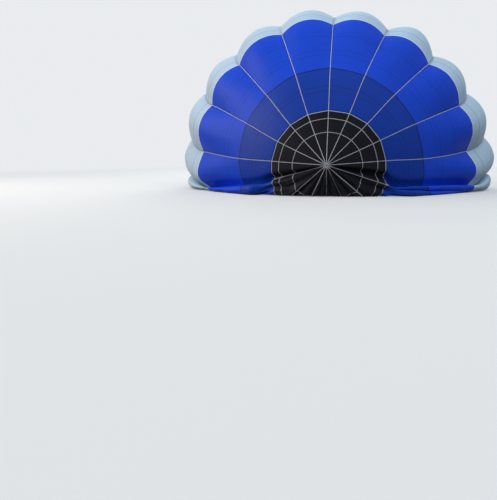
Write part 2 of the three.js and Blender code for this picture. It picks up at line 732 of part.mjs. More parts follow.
// Four flying wires that meet in one carabiner on a corner of the frame, in balloon places.
function makeWires(seams, sx, sy) {
  const holeTop = lugHoleZ + LUG_HOLE * Math.cos(Math.PI / 12);
  const z0 = holeTop - CARABINER_BAR - 2 * GAP;
  const outline = roundedRectangle(CARABINER_WIDTH, CARABINER_LENGTH, 15);
  outline.holes.push(
    roundedRectangle(CARABINER_WIDTH - 2 * CARABINER_BAR, CARABINER_LENGTH - 2 * CARABINER_BAR, 6),
  );
  const options = { depth: CARABINER_BAR, bevelEnabled: false, curveSegments: 2 };
  const carabiner = new THREE.ExtrudeGeometry(outline, options)
    .translate(0, CARABINER_LENGTH / 2, -CARABINER_BAR / 2)
    .rotateX(Math.PI / 2)
    .rotateZ(Math.PI / 2)
    .translate(sx * lugX, sy * lugY, z0)
    .applyMatrix4(layDown);
  const eye = vec(sx * lugX, sy * lugY, z0 + CARABINER_LENGTH - CARABINER_BAR / 2).applyMatrix4(layDown);
  const wires = seams.map((seam, i) => {
    const end = seamPoint(seam, MOUTH).addScaledVector(seamNormal(seam, MOUTH), 1);
    end.y += WIRE_RADIUS + WIRE_END_GAP;
    end.z = Math.max(end.z, WIRE_RADIUS + 6);
    const place = eye.clone().add(vec(0, 0, -sx * (i - (seams.length - 1) / 2) * WIRE_SPACING));
    return bar(end, place, WIRE_RADIUS, 5);
  });
  return joined(carabiner, ...wires);
}

// The assembly.

const balloon = new THREE.Group();
balloon.position.set(-MIDDLE_ACROSS, -MIDDLE_AXIAL, 0);

for (let i = 0; i < 2 * HALF_GORES; i++) {
  const name = `gore_${String(i + 1).padStart(2, "0")}`;
  balloon.add(namedMesh(name, makeGore(i - HALF_GORES), BLUE_CLOTH));
}
balloon.add(namedMesh("mouth_skirt", makeSkirt(), BLACK_CLOTH));
balloon.add(namedMesh("parachute_valve", makeValve(), BLACK_CLOTH));
balloon.add(namedMesh("load_tapes", makeTapes(), TAPE));
balloon.add(namedMesh("crown_ring", makeCrownRing(), ALUMINIUM));

const WIRE_GROUPS = [
  ["flying_wires_top_left", [-3, -2, -1, 0], -1, 1],
  ["flying_wires_top_right", [1, 2, 3, 4], 1, 1],
  ["flying_wires_bottom_right", [5, 6, 7, 8], 1, -1],
  ["flying_wires_bottom_left", [-7, -6, -5, -4], -1, -1],
];
for (const [name, seams, sx, sy] of WIRE_GROUPS)
  balloon.add(namedMesh(name, makeWires(seams, sx, sy), STAINLESS));

const carriage = new THREE.Group();
carriage.position.set(0, BASKET_BASE_AXIAL, BASKET_REST_HEIGHT);
carriage.rotation.x = Math.PI / 2;
balloon.add(carriage);

carriage.add(namedMesh("basket_wall", makeBasketWall(), WICKER));
carriage.add(namedMesh("basket_floor", makeFloor(), TIMBER));
carriage.add(namedMesh("basket_rim", makeRim(), SUEDE));
carriage.add(namedMesh("scuff_band", makeScuffBand(), SUEDE));
carriage.add(namedMesh("partition", makePartition(), WICKER));
[-1, 0, 1].forEach((n, i) =>
  carriage.add(namedMesh(`skid_${i + 1}`, makeSkid(n * SKID_SPACING), TIMBER)),
);

const CORNERS = [[-1, -1], [1, -1], [1, 1], [-1, 1]];
CORNERS.forEach(([sx, sy], i) => {
  const cylinder = namedMesh(`fuel_cylinder_${i + 1}`, makeCylinder(), ALUMINIUM);
  cylinder.position.set(sx * CYLINDER_X, sy * CYLINDER_Y, wallBottom);
  carriage.add(cylinder);
  carriage.add(namedMesh(`upright_${i + 1}`, makeRod(sx, sy), PADDING));
});

carriage.add(namedMesh("burner_frame", makeFrame(), STAINLESS));
carriage.add(namedMesh("gimbal", makeGimbal(), STAINLESS));
carriage.add(namedMesh("burner_beam", makeBurnerBeam(), ALUMINIUM));
for (const [name, sx] of [["burner_left", -1], ["burner_right", 1]]) {
  const { shell, others } = makeBurner(sx * CAN_X);
  carriage.add(namedMesh(name, joined(shell, ...others), COILS));
}

export default balloon;
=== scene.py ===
"""Dresses a packed hot air balloon, lying on its side and part inflated.

It gets cloth, tapes, wicker and metal. The frame is loaded once. Every piece is in metres in the
frame's own axes: the crown faces -Y, the mouth and the tipped basket are at +Y, and the cloth lies
on the ground at Z = 0.
"""
from functools import lru_cache
from math import atan2, cos, exp, floor, hypot, pi, radians, sin

import bmesh
import bpy
from bpy.props import FloatProperty, FloatVectorProperty, IntProperty, PointerProperty
from mathutils import Matrix, Vector, noise


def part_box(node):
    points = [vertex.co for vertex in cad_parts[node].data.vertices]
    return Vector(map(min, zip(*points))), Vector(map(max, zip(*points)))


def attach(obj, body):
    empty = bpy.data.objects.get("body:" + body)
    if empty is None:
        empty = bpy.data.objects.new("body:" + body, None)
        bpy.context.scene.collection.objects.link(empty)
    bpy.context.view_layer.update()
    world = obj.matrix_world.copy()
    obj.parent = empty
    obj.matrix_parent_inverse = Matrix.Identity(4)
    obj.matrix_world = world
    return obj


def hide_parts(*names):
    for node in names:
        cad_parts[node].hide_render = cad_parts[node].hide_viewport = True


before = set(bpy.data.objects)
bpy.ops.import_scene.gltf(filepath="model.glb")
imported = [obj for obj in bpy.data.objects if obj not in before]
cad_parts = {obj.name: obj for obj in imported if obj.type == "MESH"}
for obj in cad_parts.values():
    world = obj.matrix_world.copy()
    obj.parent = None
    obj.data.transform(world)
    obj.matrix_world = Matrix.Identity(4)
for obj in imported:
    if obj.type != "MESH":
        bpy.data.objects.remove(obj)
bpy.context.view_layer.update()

bl_info = {
    "name": "Hot air balloon dresser",
    "version": (1, 0, 0),
    "blender": (4, 5, 0),
    "location": "View3D > Sidebar > Balloon",
    "description": "Makes the cloth, tapes, basket and burner finishes of a balloon laid out for inflation",
    "category": "Add Mesh",
}

# The balloon's meridian, as it lies, from the hub of the crown to the mouth. Columns: distance
# behind the crown, half width of the ring of seams, rise of the ring of seams, height of its
# centre, bulge of a gore over its chord. A row number is a place between two lines of the table.
MERIDIAN = (
    (0.0, 0.0, 0.0, 2.05, 0.0),  # hub
    (1.2, 3.71, 3.45, 2.05, 0.02),  # crown opening
    (2.8, 6.335, 6.14, 2.14, 0.034),  # edge of the painted shade round the crown
    (5.98, 9.96, 9.28, 2.305, 0.2),  # blue and white border
    (8.69, 11.68, 10.26, 2.17, 0.194),  # widest ring
    (12.5, 10.98, 9.54, 2.07, 0.18),  # lower border
    (15.5, 8.1, 7.2, 1.75, 0.15),  # cone
    (18.0, 4.9, 4.4, 1.35, 0.09),  # neck
    (19.9, 2.55, 2.35, 1.0, 0.03),  # mouth
)
# The half filled envelope leans and its underside spreads over the ground, so each seam has a line.
# Columns: angle from the top in degrees at the crown, at the border and at the widest ring, and
# reach from the axis at the same three places. The first line is seam -8, the last is seam 8.
SEAMS = (
    (-180, -180, -180, 1, 1, 1),
    (-156.5, -156, -156, 1.22, 1, 1),
    (-133, -130, -130, 1.24, 1, 1),
    (-106, -104, -96, 1.04, 0.96, 1.01),
    (-85.6, -85.7, -79.7, 1, 1.007, 1.01),
    (-63.4, -63.9, -58.7, 1, 1.02, 1.03),
    (-41.6, -42.8, -38.8, 1, 1.03, 1.04),
    (-21, -21.4, -19.6, 1, 1.04, 1.055),
    (0, -0.5, -0.5, 1, 1.02, 1.03),
    (21, 20.9, 19.3, 1, 0.985, 0.98),
    (41.6, 43, 38.9, 1, 0.963, 0.95),
    (63.4, 65.7, 59.6, 1, 0.96, 0.945),
    (85.6, 86.7, 79.9, 1, 0.967, 0.955),
    (109.8, 101.1, 95.7, 1.07, 0.993, 0.99),
    (133, 130, 130, 1.24, 1, 1),
    (156.5, 156, 156, 1.22, 1, 1),
    (180, 180, 180, 1, 1, 1),
)
SETTLING = 0.6  # below 1, the seams turn to their second angle soon after the opening
GORES = 16
HALF_GORES = 8
OPENING_ROW = 1.0
VALVE_EDGE_ROW = 1.25
# Row where the painted shade round the crown ends: a darker blue there stands in for less light coming
# through the cloth.
CROWN_SHADE_ROW = 2.0
BORDER_ROW = 3.0
WIDEST_ROW = 4.0
LOWER_BORDER_ROW = 5.0
SKIRT_ROW = 7.5
MOUTH_ROW = 8.0
SEAM_LIFT = 0.024
VALVE_DEPTH = 0.0105
VALVE_LOWEST = 0.04
VALVE_CENTRE = 0.1355  # distance behind the hub's plane of the middle of the valve
VALVE_FLAT_ROW = 0.12
RING_TAPE_ROWS = (0.635, 0.86)
RING_OUTER = 0.11
RING_INNER = 0.078
RING_DEPTH = 0.024
CROWN_FRONT = 0.048  # distance behind the hub's plane of the crown ring's front face
TAPE_START_ROW = 0.085
LOOP_WIDTH = 0.041  # width of a load tape's loop round the crown ring
LOOP_SPREAD = 0.178  # widest half width of a loop, for each metre from the hub
PATCH_RADIUS = 0.13  # of the round patch in the middle of the valve
# Where the cloth hangs off its regular course. Columns: place round the envelope, row, reach of the
# shift round the envelope and along the rows, shift to the right and upwards in metres.
NUDGES = (
    (4, 2.1, 0.5, 0.75, 0, -0.13),
    (-4, 2.1, 0.5, 0.75, 0, -0.13),
    (4, 3.05, 0.35, 0.35, -0.25, 0.06),
    (-4, 3.05, 0.35, 0.35, 0.13, 0),
    (-4.6, 3.15, 0.32, 0.6, -0.28, -0.1),
    (4.6, 3.1, 0.3, 0.5, 0.1, -0.05),
    (-5, 4.0, 0.4, 0.6, 0.1, 0),
)
# The loose cloth beyond the fifth seam lies in rolls on the ground, on the right (1) and on the left
# (-1). Each line holds pairs of a row and a value that changes smoothly between them.
ROLLS = {
    1: (
        ((1.0, 0.3), (1.6, 0.4), (2.4, 0.48), (3.1, 0.58)),  # share of the gore in the first roll
        ((1.0, 0.3), (2.2, 0.22), (3.1, 0.0)),  # share of the gore in the second roll
        ((1.0, 0.2), (1.6, 0.32), (3.0, 0.36), (4.0, 0.3)),  # how far the first roll swells outwards
        ((1.0, 0.15), (1.6, 0.28), (2.8, 0.24), (3.8, -0.02)),  # how far out its foot lies
        ((1.0, 0.5), (1.5, 0.32), (2.2, 0.13), (3.1, 0.05)),  # height of its foot
        ((1.0, 0.06), (1.7, 0.14), (3.0, 0.12), (4.0, 0.04)),  # how far it swells upwards
        ((1.0, 0.6), (2.0, 0.42), (3.1, 0.0)),  # width of the second roll
        ((2.4, 0.0), (3.6, 0.5), (4.2, 0.5), (5.5, 0.1)),  # how far the rolls lie forwards
    ),
    -1: (
        ((1.0, 0.5), (1.7, 0.58)),
        ((1.0, 0.0),),
        ((1.0, 0.24), (1.7, 0.36), (3.0, 0.38), (4.0, 0.36)),
        ((1.0, 0.25), (1.7, 0.35), (2.8, 0.25), (3.6, 0.0)),
        ((1.0, 0.05),),
        ((1.0, 0.1), (1.7, 0.16), (3.0, 0.14), (4.0, 0.03)),
        ((1.0, 0.0),),
        ((1.1, 0.0), (2.0, 0.7), (3.0, 1.2), (4.2, 1.3), (5.5, 0.2)),
    ),
}
ROLLED_GORES = (-6, 5)
GROUND_FOLD = 0.05  # height of the cloth that lies on the ground between two rolls
TUCKED = 0.87  # how far round a gore the loose cloth is tucked under its roll
TUCK_DEPTH = 0.42
INWARDS = 0.42  # how far a roll that lies further forwards also lies inwards, for each metre
POCKETS = (-0.44, -0.22)  # depth of the hollow along the crease, before and past the opening
POCKET_WIDTHS = (0.18, 0.15)
GROOVE = 0.28  # how far the cloth sags along the crease past the opening
GROOVE_WIDTH = 0.11
SOFT_ROLL = 0.24  # height of the soft folds below the crease
SOFT_ROLL_WIDTH = 0.62
FULL_GORE = 0.25  # how much further one gore bulges at the belt than the others
# The seams between a gore's panels. Columns: row, half width in rows, how dark the seam shows.
PANEL_SEAMS = (
    (CROWN_SHADE_ROW, 0.012, 0.75), (1.47, 0.008, 0.35), (1.59, 0.008, 0.4), (2.28, 0.005, 0.3),
    (2.36, 0.005, 0.25), (2.62, 0.006, 0.24), (2.69, 0.005, 0.2), (3.22, 0.01, 0.3), (3.85, 0.01, 0.25),
    (4.4, 0.01, 0.25), (5.5, 0.01, 0.3), (6.0, 0.01, 0.3), (6.5, 0.012, 0.3), (7.0, 0.014, 0.3),
)
SEAM_SHADE = (0.004, 0.01, 0.05)
PIPING = (BORDER_ROW + 0.01, 0.011, 0.8, (0.85, 0.92, 1.0))  # row, half width, strength, colour
RING_TAPE_WIDTH = 0.036
TAPE_THICKNESS = 0.003
LOOP_THICKNESS = 0.0025
PUCKER = 0.008  # height of the puckers beside a seam
PUCKER_LENGTH = 0.5
PUCKER_REACH = 0.35
SWELL = 0.02  # height of the soft swells over a whole gore
OPENING_GORE = 1.4  # width of a gore at the opening
SKIRT_GIRTH = 18.8
ROUND_FACETS = 384  # facets of a tape or of the valve, round the envelope
SKIRT_FACETS = 256  # facets of the skirt, round the envelope
TAPE_FACETS = 220  # facets along a load tape

# The basket, standing on its skids: x along its length, y along its depth, z up.
BASKET_LENGTH = 2.1
BASKET_DEPTH = 1.3
BASKET_CORNER = 0.15
WALL = 0.042
WALL_BOTTOM = 0.0635
WALL_TOP = 1.11
RIM_HEIGHT = 0.08
RIM_OVERHANG = 0.022
SCUFF_BOTTOM = 0.045
SCUFF_TOP = 0.21
PARTITION_TOP = 1.06
CANE = 0.0108  # radius of a cane of the weave
SWING = 0.0072  # how far a cane goes in and out round the stakes
STEP_HOLES = ((-0.62, 0.52), (0.62, 0.52))
STEP_WIDTH = 0.23
STEP_HEIGHT = 0.13
STAKE_RADIUS = 0.0055
STAKE_STATIONS = 3  # points of a cane's path from one stake to the next
WALL_PATH = (BASKET_LENGTH - WALL, BASKET_DEPTH - WALL, BASKET_CORNER - WALL / 2)
SKID_PLACES = (-0.48, 0, 0.48)
CYLINDER_RADIUS = 0.152
CYLINDER_X = BASKET_LENGTH / 2 - WALL - CYLINDER_RADIUS - 0.0005
CYLINDER_Y = BASKET_DEPTH / 2 - WALL - CYLINDER_RADIUS - 0.0005
# Profiles that are turned about a standing axis: pairs of a radius and a height.
CYLINDER_BODY = (
    (0, 0.03), (0.118, 0.03), (0.122, 0.024), (0.123, 0.002), (0.126, 0), (0.134, 0), (0.137, 0.003),
    (0.139, 0.02), (0.144, 0.045), (0.15, 0.075), (0.152, 0.1), (0.152, 0.72), (0.15, 0.75),
    (0.143, 0.778), (0.13, 0.8), (0.112, 0.816), (0.085, 0.826), (0.05, 0.831), (0, 0.833),
)
CYLINDER_COLLAR = ((0.074, 0.82), (0.079, 0.82), (0.079, 0.868), (0.074, 0.868), (0.074, 0.82))
CYLINDER_RING = (
    (0.073, 0.866), (0.079, 0.866), (0.0795, 0.89), (0.0765, 0.9), (0.0735, 0.89), (0.073, 0.866),
)
VALVE_KNOB = ((0, 0.872), (0.028, 0.872), (0.032, 0.877), (0.028, 0.884), (0, 0.884))
CAN_WALL = (
    (0.126, 0), (0.142, 0), (0.144, 0.004), (0.144, 0.02), (0.136, 0.026), (0.136, 0.318),
    (0.149, 0.322), (0.149, 0.329), (0.133, 0.33), (0.132, 0.322), (0.132, 0.03), (0.126, 0.02),
    (0.126, 0),
)
CORNERS = ((-1, -1), (1, -1), (1, 1), (-1, 1))
ROD_FOOT = (0.93, 0.629, 1.1915)
ROD_HEAD = (0.5775, 0.4775, 2.029)
ROD_RADIUS = 0.034
LUG_X = 0.5875
LUG_Y = 0.4775
CARABINER_BASE = 2.1175
CARABINER_LENGTH = 0.12
CARABINER_WIDTH = 0.052
CARABINER_BAR = 0.005
WIRE_RADIUS = 0.004
WIRE_SPACING = 0.0095
FERRULE_RADIUS = 0.0072
SLEEVE_RADIUS = 0.0085
CAN_X = 0.2
CAN_BOTTOM = 2.1525
CAN_HEIGHT = 0.33
COIL_RADIUS = 0.1425
JET_RING = 0.07
WIRE_GROUPS = (
    ("wires_top_left", "flying_wires_top_left", (-3, -2, -1, 0), -1, 1),
    ("wires_top_right", "flying_wires_top_right", (1, 2, 3, 4), 1, 1),
    ("wires_bottom_right", "flying_wires_bottom_right", (5, 6, 7, 8), 1, -1),
    ("wires_bottom_left", "flying_wires_bottom_left", (-7, -6, -5, -4), -1, -1),
)


def middle_of(node):
    """The middle of a CAD node's box."""
    low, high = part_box(node)
    return (low + high) / 2


HUB_X = middle_of("crown_ring").x
HUB_Z = MERIDIAN[0][3]
CROWN_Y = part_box("crown_ring")[0].y - CROWN_FRONT
BASE_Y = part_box("skid_2")[1].y
REST = middle_of("skid_2").z
LAY = Matrix.Translation((HUB_X, BASE_Y, REST)) @ Matrix.Rotation(pi / 2, 4, "X")


def smooth(w):
    """A soft step from 0 to 1."""
    w = min(max(w, 0.0), 1.0)
    return w * w * (3 - 2 * w)


def mix(a, b, w):
    """The number between a and b."""
    return a + (b - a) * w


# The envelope's surface.


@lru_cache(maxsize=None)
def meridian(row):
    """The meridian's five values at a row, on a smooth curve through the table."""
    last = len(MERIDIAN) - 1
    i = min(max(int(row), 0), last - 1)
    w = row - i
    values = []
    for column in range(5):
        near = [MERIDIAN[min(max(n, 0), last)][column] for n in range(i - 1, i + 3)]
        v0 = (near[2] - near[0]) / 2
        v1 = (near[3] - near[1]) / 2
        cubic = 2 * near[1] - 2 * near[2] + v0 + v1
        square = -3 * near[1] + 3 * near[2] - 2 * v0 - v1
        values.append(((cubic * w + square) * w + v0) * w + near[1])
    return values


@lru_cache(maxsize=None)
def slope(row):
    """How far the meridian goes back and outwards for each metre along it."""
    before = meridian(max(row - 0.01, 0.0))
    after = meridian(min(row + 0.01, MOUTH_ROW))
    back = after[0] - before[0]
    outwards = (after[1] + after[2] - before[1] - before[2]) / 2
    length = hypot(back, outwards)
    return back / length, outwards / length


@lru_cache(maxsize=None)
def seam_course(seam, row):
    """A seam's angle from the top, in radians, and its reach. Seams run from -8 to 8."""
    crown, border, widest, crown_reach, border_reach, widest_reach = SEAMS[seam + HALF_GORES]
    spreading = smooth(row / OPENING_ROW)
    first = smooth(max((row - OPENING_ROW) / (BORDER_ROW - OPENING_ROW), 0.0) ** SETTLING)
    second = smooth((row - BORDER_ROW) / (WIDEST_ROW - BORDER_ROW))
    fading = smooth((row - LOWER_BORDER_ROW) / (MOUTH_ROW - LOWER_BORDER_ROW))
    angle = radians(mix(mix(crown, border, first), widest, second))
    reach = mix(mix(mix(1, crown_reach, spreading), border_reach, first), widest_reach, second)
    return angle, mix(reach, 1, fading)


@lru_cache(maxsize=None)
def seam_point(seam, row):
    """A point on a seam. Seams that would be underground lie on the ground."""
    axial, half_width, rise, centre, _ = meridian(row)
    angle, reach = seam_course(seam, row)
    z = centre + rise * reach * cos(angle)
    return Vector((HUB_X + half_width * reach * sin(angle), CROWN_Y + axial, max(z, SEAM_LIFT)))


@lru_cache(maxsize=None)
def chord_frame(gore, row):
    """A gore's chord at a row: where it starts, the chord, its outward direction and the sagitta."""
    start = seam_point(gore, row)
    chord = seam_point(gore + 1, row) - start
    _, _, _, centre, bulge = meridian(row)
    out = Vector((-chord.z, 0, chord.x))
    if out.length > 1e-9:
        out.normalize()
    middle = start + chord / 2
    if out.x * (middle.x - HUB_X) + out.z * (middle.z - centre) < 0:
        out.negate()
    return start, chord, out, bulge * chord.length


def gore_and_share(around):
    """The gore at a place round the envelope, and the share of its width that comes before it."""
    around = (around + HALF_GORES) % GORES - HALF_GORES
    gore = min(int(floor(around + 1e-9)), HALF_GORES - 1)
    return gore, min(max(around - gore, 0.0), 1.0)


def taut_point(around, row):
    """A point of the envelope's surface as the solids have it."""
    gore, v = gore_and_share(around)
    start, chord, out, sagitta = chord_frame(gore, row)
    back, outwards = slope(row)
    height = sagitta * 4 * v * (1 - v)
    point = start + chord * v + out * (height * back)
    point.y -= height * outwards
    point.z = max(point.z, 0.0)
    return point


def outward(around, row):
    """The direction away from the envelope, with no regard to the bulge of the gores."""
    gore, v = gore_and_share(around)
    angle = mix(seam_course(gore, row)[0], seam_course(gore + 1, row)[0], v)
    _, half_width, rise, _, _ = meridian(row)
    back, outwards = slope(row)
    out = Vector((sin(angle) * max(rise, 0.01), 0, cos(angle) * max(half_width, 0.01))).normalized()
    return Vector((out.x * back, -outwards, out.z * back)).normalized()


def by_row(row, *steps):
    """A number that runs smoothly through pairs of a row and a value."""
    for (row0, value0), (row1, value1) in zip(steps, steps[1:]):
        if row <= row1:
            return mix(value0, value1, smooth((row - row0) / (row1 - row0)))
    return steps[-1][1]


def crease_place(turn, row):
    """Where round the envelope the taut cloth ends and the loose cloth near the ground begins."""
    if turn > 0:
        return by_row(row, (0, 4.62), (0.95, 4.66), (1.22, 4.96), (2.0, 4.99), (3.0, 5.0))
    return by_row(row, (0, 4.85), (0.95, 4.9), (1.3, 4.97), (2.0, 5.0))


def laid_out(row):
    """How far the loose cloth at a row lies in rolls on the ground, from 0 to 1."""
    return smooth((row - 1.0) / 0.55) * (1 - smooth((row - 4.3) / 1.3))


def slack(turn, row):
    """How far the loose cloth near the ground stands out from its taut place, in metres."""
    s = abs(turn)
    side = 1.0 if turn > 0 else -1.0
    near = smooth(row / 0.5)
    far = 1 - smooth((row - 3.6) / 1.2)
    below = s - crease_place(turn, row)
    past = smooth((row - 1.0) / 0.4)
    pocket = mix(*POCKETS, past) * exp(-((below / mix(*POCKET_WIDTHS, past)) ** 2))
    low = smooth(below / 0.25)
    bend = 0.12 * sin(2.1 * row + 1.3 * side)
    bend += 0.1 * noise.noise(Vector((s * 0.8, row * 1.2, 5.0 * side)))
    rolls = abs(sin((below + bend) * pi / SOFT_ROLL_WIDTH)) - 0.5
    rolls *= SOFT_ROLL * mix(0.5, 1.0, min(row, 1.0))
    rolls += 0.05 * abs(sin((below * 2.3 - bend) * pi / 0.5))
    rolls *= 1 - laid_out(row)
    if row > OPENING_ROW:
        low *= 1 - mix(smooth((s - 6.2) / 0.8), smooth((s - 5.5) / 0.15), laid_out(row))
    crumple = noise.noise(Vector((turn * 1.9, row * 3.1, 2.2))) * 0.05
    crumple += noise.noise(Vector((turn * 4.3, row * 7.0, 8.2))) * 0.018
    return near * far * (pocket + low * (rolls + crumple))


@lru_cache(maxsize=None)
def fifth_seam(side, row):
    """A point on the fifth seam from the top, and the level direction away from the envelope."""
    along = seam_point(5 * side, row + 0.05) - seam_point(5 * side, row - 0.05)
    return seam_point(5 * side, row), Vector((along.y * side, -along.x * side, 0)).normalized()


def rolled(turn, row, taut):
    """A point of the loose cloth beyond the fifth seam, in its rolls or tucked under them."""
    side = 1 if turn > 0 else -1
    beyond = abs(turn) - 5
    seam, away = fifth_seam(side, row)
    uneven = noise.noise(Vector((row * 1.7, side * 3.0, 1.0)))
    shape = (by_row(row, *steps) for steps in ROLLS[side])
    first, second, reach, foot, rest, puff, apron, forwards = shape
    reach *= 1 + 0.3 * uneven
    rest *= 1 - 0.5 * uneven
    if beyond < first:
        a = pi * beyond / first
        out = foot * beyond / first + reach * sin(a)
        height = mix(seam.z, rest, (1 - cos(a)) / 2) + puff * sin(a)
        forwards *= sin(a / 2)
    elif beyond < first + second:
        b = (beyond - first) / second
        out = foot + apron * sin(b * pi / 2) ** 0.8
        height = mix(rest, GROUND_FOLD, b * b) + 0.35 * apron * sin(b * pi)
    else:
        c = min((beyond - first - second) / (TUCKED - first - second), 1.0)
        back, again = min(c * 2, 1.0), max(c * 2 - 1, 0.0)
        out = foot + apron + TUCK_DEPTH * (again - back)
        height = mix(mix(rest if second == 0 else GROUND_FOLD, 0.025, back), 0.006, again)
    place = seam + away * out
    place += Vector((-INWARDS * side, -1, 0)) * forwards
    place.z = height
    return place.lerp(taut, min(max((beyond - TUCKED) / 0.08, 0.0), 1.0))


def nudge(turn, row):
    """How far the cloth hangs off its regular course, as a vector in metres."""
    moved = Vector((0, 0, 0))
    for at_turn, at_row, wide, long, x, z in NUDGES:
        if abs(turn - at_turn) < 3 * wide and abs(row - at_row) < 3 * long:
            share = exp(-(((turn - at_turn) / wide) ** 2) - ((row - at_row) / long) ** 2)
            moved += Vector((x * share, 0, z * share))
    return moved


def cloth_point(around, row, lift=0.0):
    """A point of the cloth as it hangs, or a little above it."""
    turn = (around + HALF_GORES) % GORES - HALF_GORES
    point = taut_point(around, row) + nudge(turn, row)
    if 1 < turn < 2:
        full = smooth((row - BORDER_ROW) / 0.7) * (1 - smooth((row - WIDEST_ROW) / 1.5))
        lift += FULL_GORE * 4 * (turn - 1) * (2 - turn) * full
    if abs(turn) > 4 and row < 6:
        if 5 < abs(turn) < 6:
            point = point.lerp(rolled(turn, row, point), laid_out(row))
        sag = GROOVE * exp(-(((abs(turn) - crease_place(turn, row) - 0.03) / GROOVE_WIDTH) ** 2))
        point.z -= sag * smooth((row - OPENING_ROW) / 0.15) * (1 - smooth((row - 3.1) / 0.7))
        lift += slack(turn, row)
    point += outward(around, row) * lift
    point.z = max(point.z, 0.003)
    return point


@lru_cache(maxsize=None)
def chord_length(gore, row):
    """The straight width of a gore at a row."""
    return chord_frame((gore + HALF_GORES) % GORES - HALF_GORES, row)[1].length


def arc_lengths(steps=400):
    """The length of the meridian from the hub to evenly spaced rows."""
    lengths = [0.0]
    for i in range(1, steps + 1):
        a = meridian(MOUTH_ROW * (i - 1) / steps)
        b = meridian(MOUTH_ROW * i / steps)
        lengths.append(lengths[-1] + hypot(b[0] - a[0], (b[1] + b[2] - a[1] - a[2]) / 2))
    return lengths


LENGTHS = arc_lengths()


@lru_cache(maxsize=None)
def metres_down(row):
    """The length of the meridian from the hub to a row."""
    at = row / MOUTH_ROW * (len(LENGTHS) - 1)
    i = min(int(at), len(LENGTHS) - 2)
    return mix(LENGTHS[i], LENGTHS[i + 1], at - i)


@lru_cache(maxsize=None)
def row_at(metres):
    """The row at a length down the meridian."""
    low, high = 0.0, MOUTH_ROW
    for _ in range(30):
        middle = (low + high) / 2
        if metres_down.__wrapped__(middle) < metres:
            low = middle
        else:
            high = middle
    return low


# Pieces of mesh.


def thicken(bm, thickness):
    """Gives a sheet a second side below its first."""
    bm.normal_update()
    away = bm.verts.layers.float_vector.new("away")
    for vert in bm.verts:
        vert[away] = vert.normal
    made = bmesh.ops.extrude_face_region(bm, geom=bm.faces[:], use_keep_orig=True)
    for vert in made["geom"]:
        if isinstance(vert, bmesh.types.BMVert):
            vert.co -= vert[away] * thickness
    bm.verts.layers.float_vector.remove(away)


def weld(bm):
    """Closes the joins of grids that meet themselves."""
    bmesh.ops.remove_doubles(bm, verts=bm.verts, dist=1e-5)


def finished(name, bm, material, slot, replaced=(), body="balloon", thickness=0.0, faceted=False):
    """Makes the object of a bmesh, in its place, riding on a body. A sheet gets its thickness."""
    if thickness:
        thicken(bm, thickness)
    bmesh.ops.recalc_face_normals(bm, faces=bm.faces)
    mesh = bpy.data.meshes.new(name)
    bm.to_mesh(mesh)
    bm.free()
    piece = bpy.data.objects.new(name, mesh)
    bpy.context.scene.collection.objects.link(piece)
    mesh.materials.append(material)
    for polygon in mesh.polygons:
        polygon.use_smooth = not faceted
    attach(piece, body)
    if replaced:
        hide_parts(*replaced)
    return piece


def laid_down(name, bm, *finish, **more):
    """Closes the joins and ends of a piece of the standing basket and carries it to where it lies."""
    weld(bm)
    bmesh.ops.holes_fill(bm, edges=[edge for edge in bm.edges if edge.is_boundary], sides=0)
    bmesh.ops.transform(bm, matrix=LAY, verts=bm.verts)
    return finished(name, bm, *finish, **more)


def carried_grid(bm, columns, rows, place):
    """Adds a grid to a bmesh and carries it to place(u, v), with u and v from 0 to 1."""
    for vert in bmesh.ops.create_grid(bm, x_segments=columns, y_segments=rows, size=1)["verts"]:
        vert.co = place((vert.co.x + 1) / 2, (vert.co.y + 1) / 2)


def refinish(name, material):
    """Gives a CAD node a material of its own."""
    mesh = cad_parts[name].data
    mesh.materials.clear()
    mesh.materials.append(material)


def circle_turns(count):
    """Evenly spaced angles round a circle."""
    return [2 * pi * i / count for i in range(count)]


def on_circle(centre, radius, angle, z):
    """A place at a distance and an angle from a centre, and at a height over it."""
    return centre + Vector((radius * cos(angle), radius * sin(angle), z))


def oval_point(angle, wide, tall):
    """A point of an oval that is fuller than an ellipse."""
    x = wide * abs(cos(angle)) ** 0.8 * (1 if cos(angle) > 0 else -1)
    return x, tall * abs(sin(angle)) ** 0.8 * (1 if sin(angle) > 0 else -1)


def square_point(angle, squareness):
    """A point of a circle of radius 1 that is drawn out towards a square."""
    point = Vector((cos(angle), sin(angle)))
    return point * mix(1, 1 / max(abs(point.x), abs(point.y)), squareness)


def add_rod(bm, start, end, radius, sides=10, end_radius=None):
    """Adds a straight round rod between two points."""
    start, end = Vector(start), Vector(end)
    along = end - start
    turn = along.to_track_quat("Z", "Y").to_matrix().to_4x4()
    bmesh.ops.create_cone(
        bm,
        cap_ends=True,
        segments=sides,
        radius1=radius,
        radius2=radius if end_radius is None else end_radius,
        depth=along.length,
        matrix=Matrix.Translation((start + end) / 2) @ turn,
    )


def add_block(bm, low, high, bevel):
    """Adds a block between two corners, with its edges rounded."""
    low, high = Vector(low), Vector(high)
    matrix = Matrix.Translation((low + high) / 2) @ Matrix.Diagonal((*(high - low), 1))
    made = bmesh.ops.create_cube(bm, size=1, matrix=matrix)["verts"]
    edges = list(dict.fromkeys(edge for vert in made for edge in vert.link_edges))
    bmesh.ops.bevel(bm, geom=edges, offset=bevel, segments=3, affect="EDGES", profile=0.5, material=-1)


def add_turned(bm, profile, centre, steps, angle=2 * pi, start=0.0):
    """Adds a shape turned about a standing axis. The profile is a list of radius and height."""
    others = set(bm.verts)
    turn = Matrix.Rotation(start, 4, "Z")
    line = [bm.verts.new(turn @ Vector((radius, 0, z))) for radius, z in profile]
    edges = [bm.edges.new(pair) for pair in zip(line, line[1:])]
    full = angle > 2 * pi - 1e-6
    bmesh.ops.spin(
        bm, geom=line + edges, cent=(0, 0, 0), axis=(0, 0, 1), angle=angle, steps=steps, use_merge=full
    )
    made = [vert for vert in bm.verts if vert not in others]
    bmesh.ops.translate(bm, vec=Vector(centre), verts=made)
    bmesh.ops.remove_doubles(bm, verts=made, dist=1e-6)


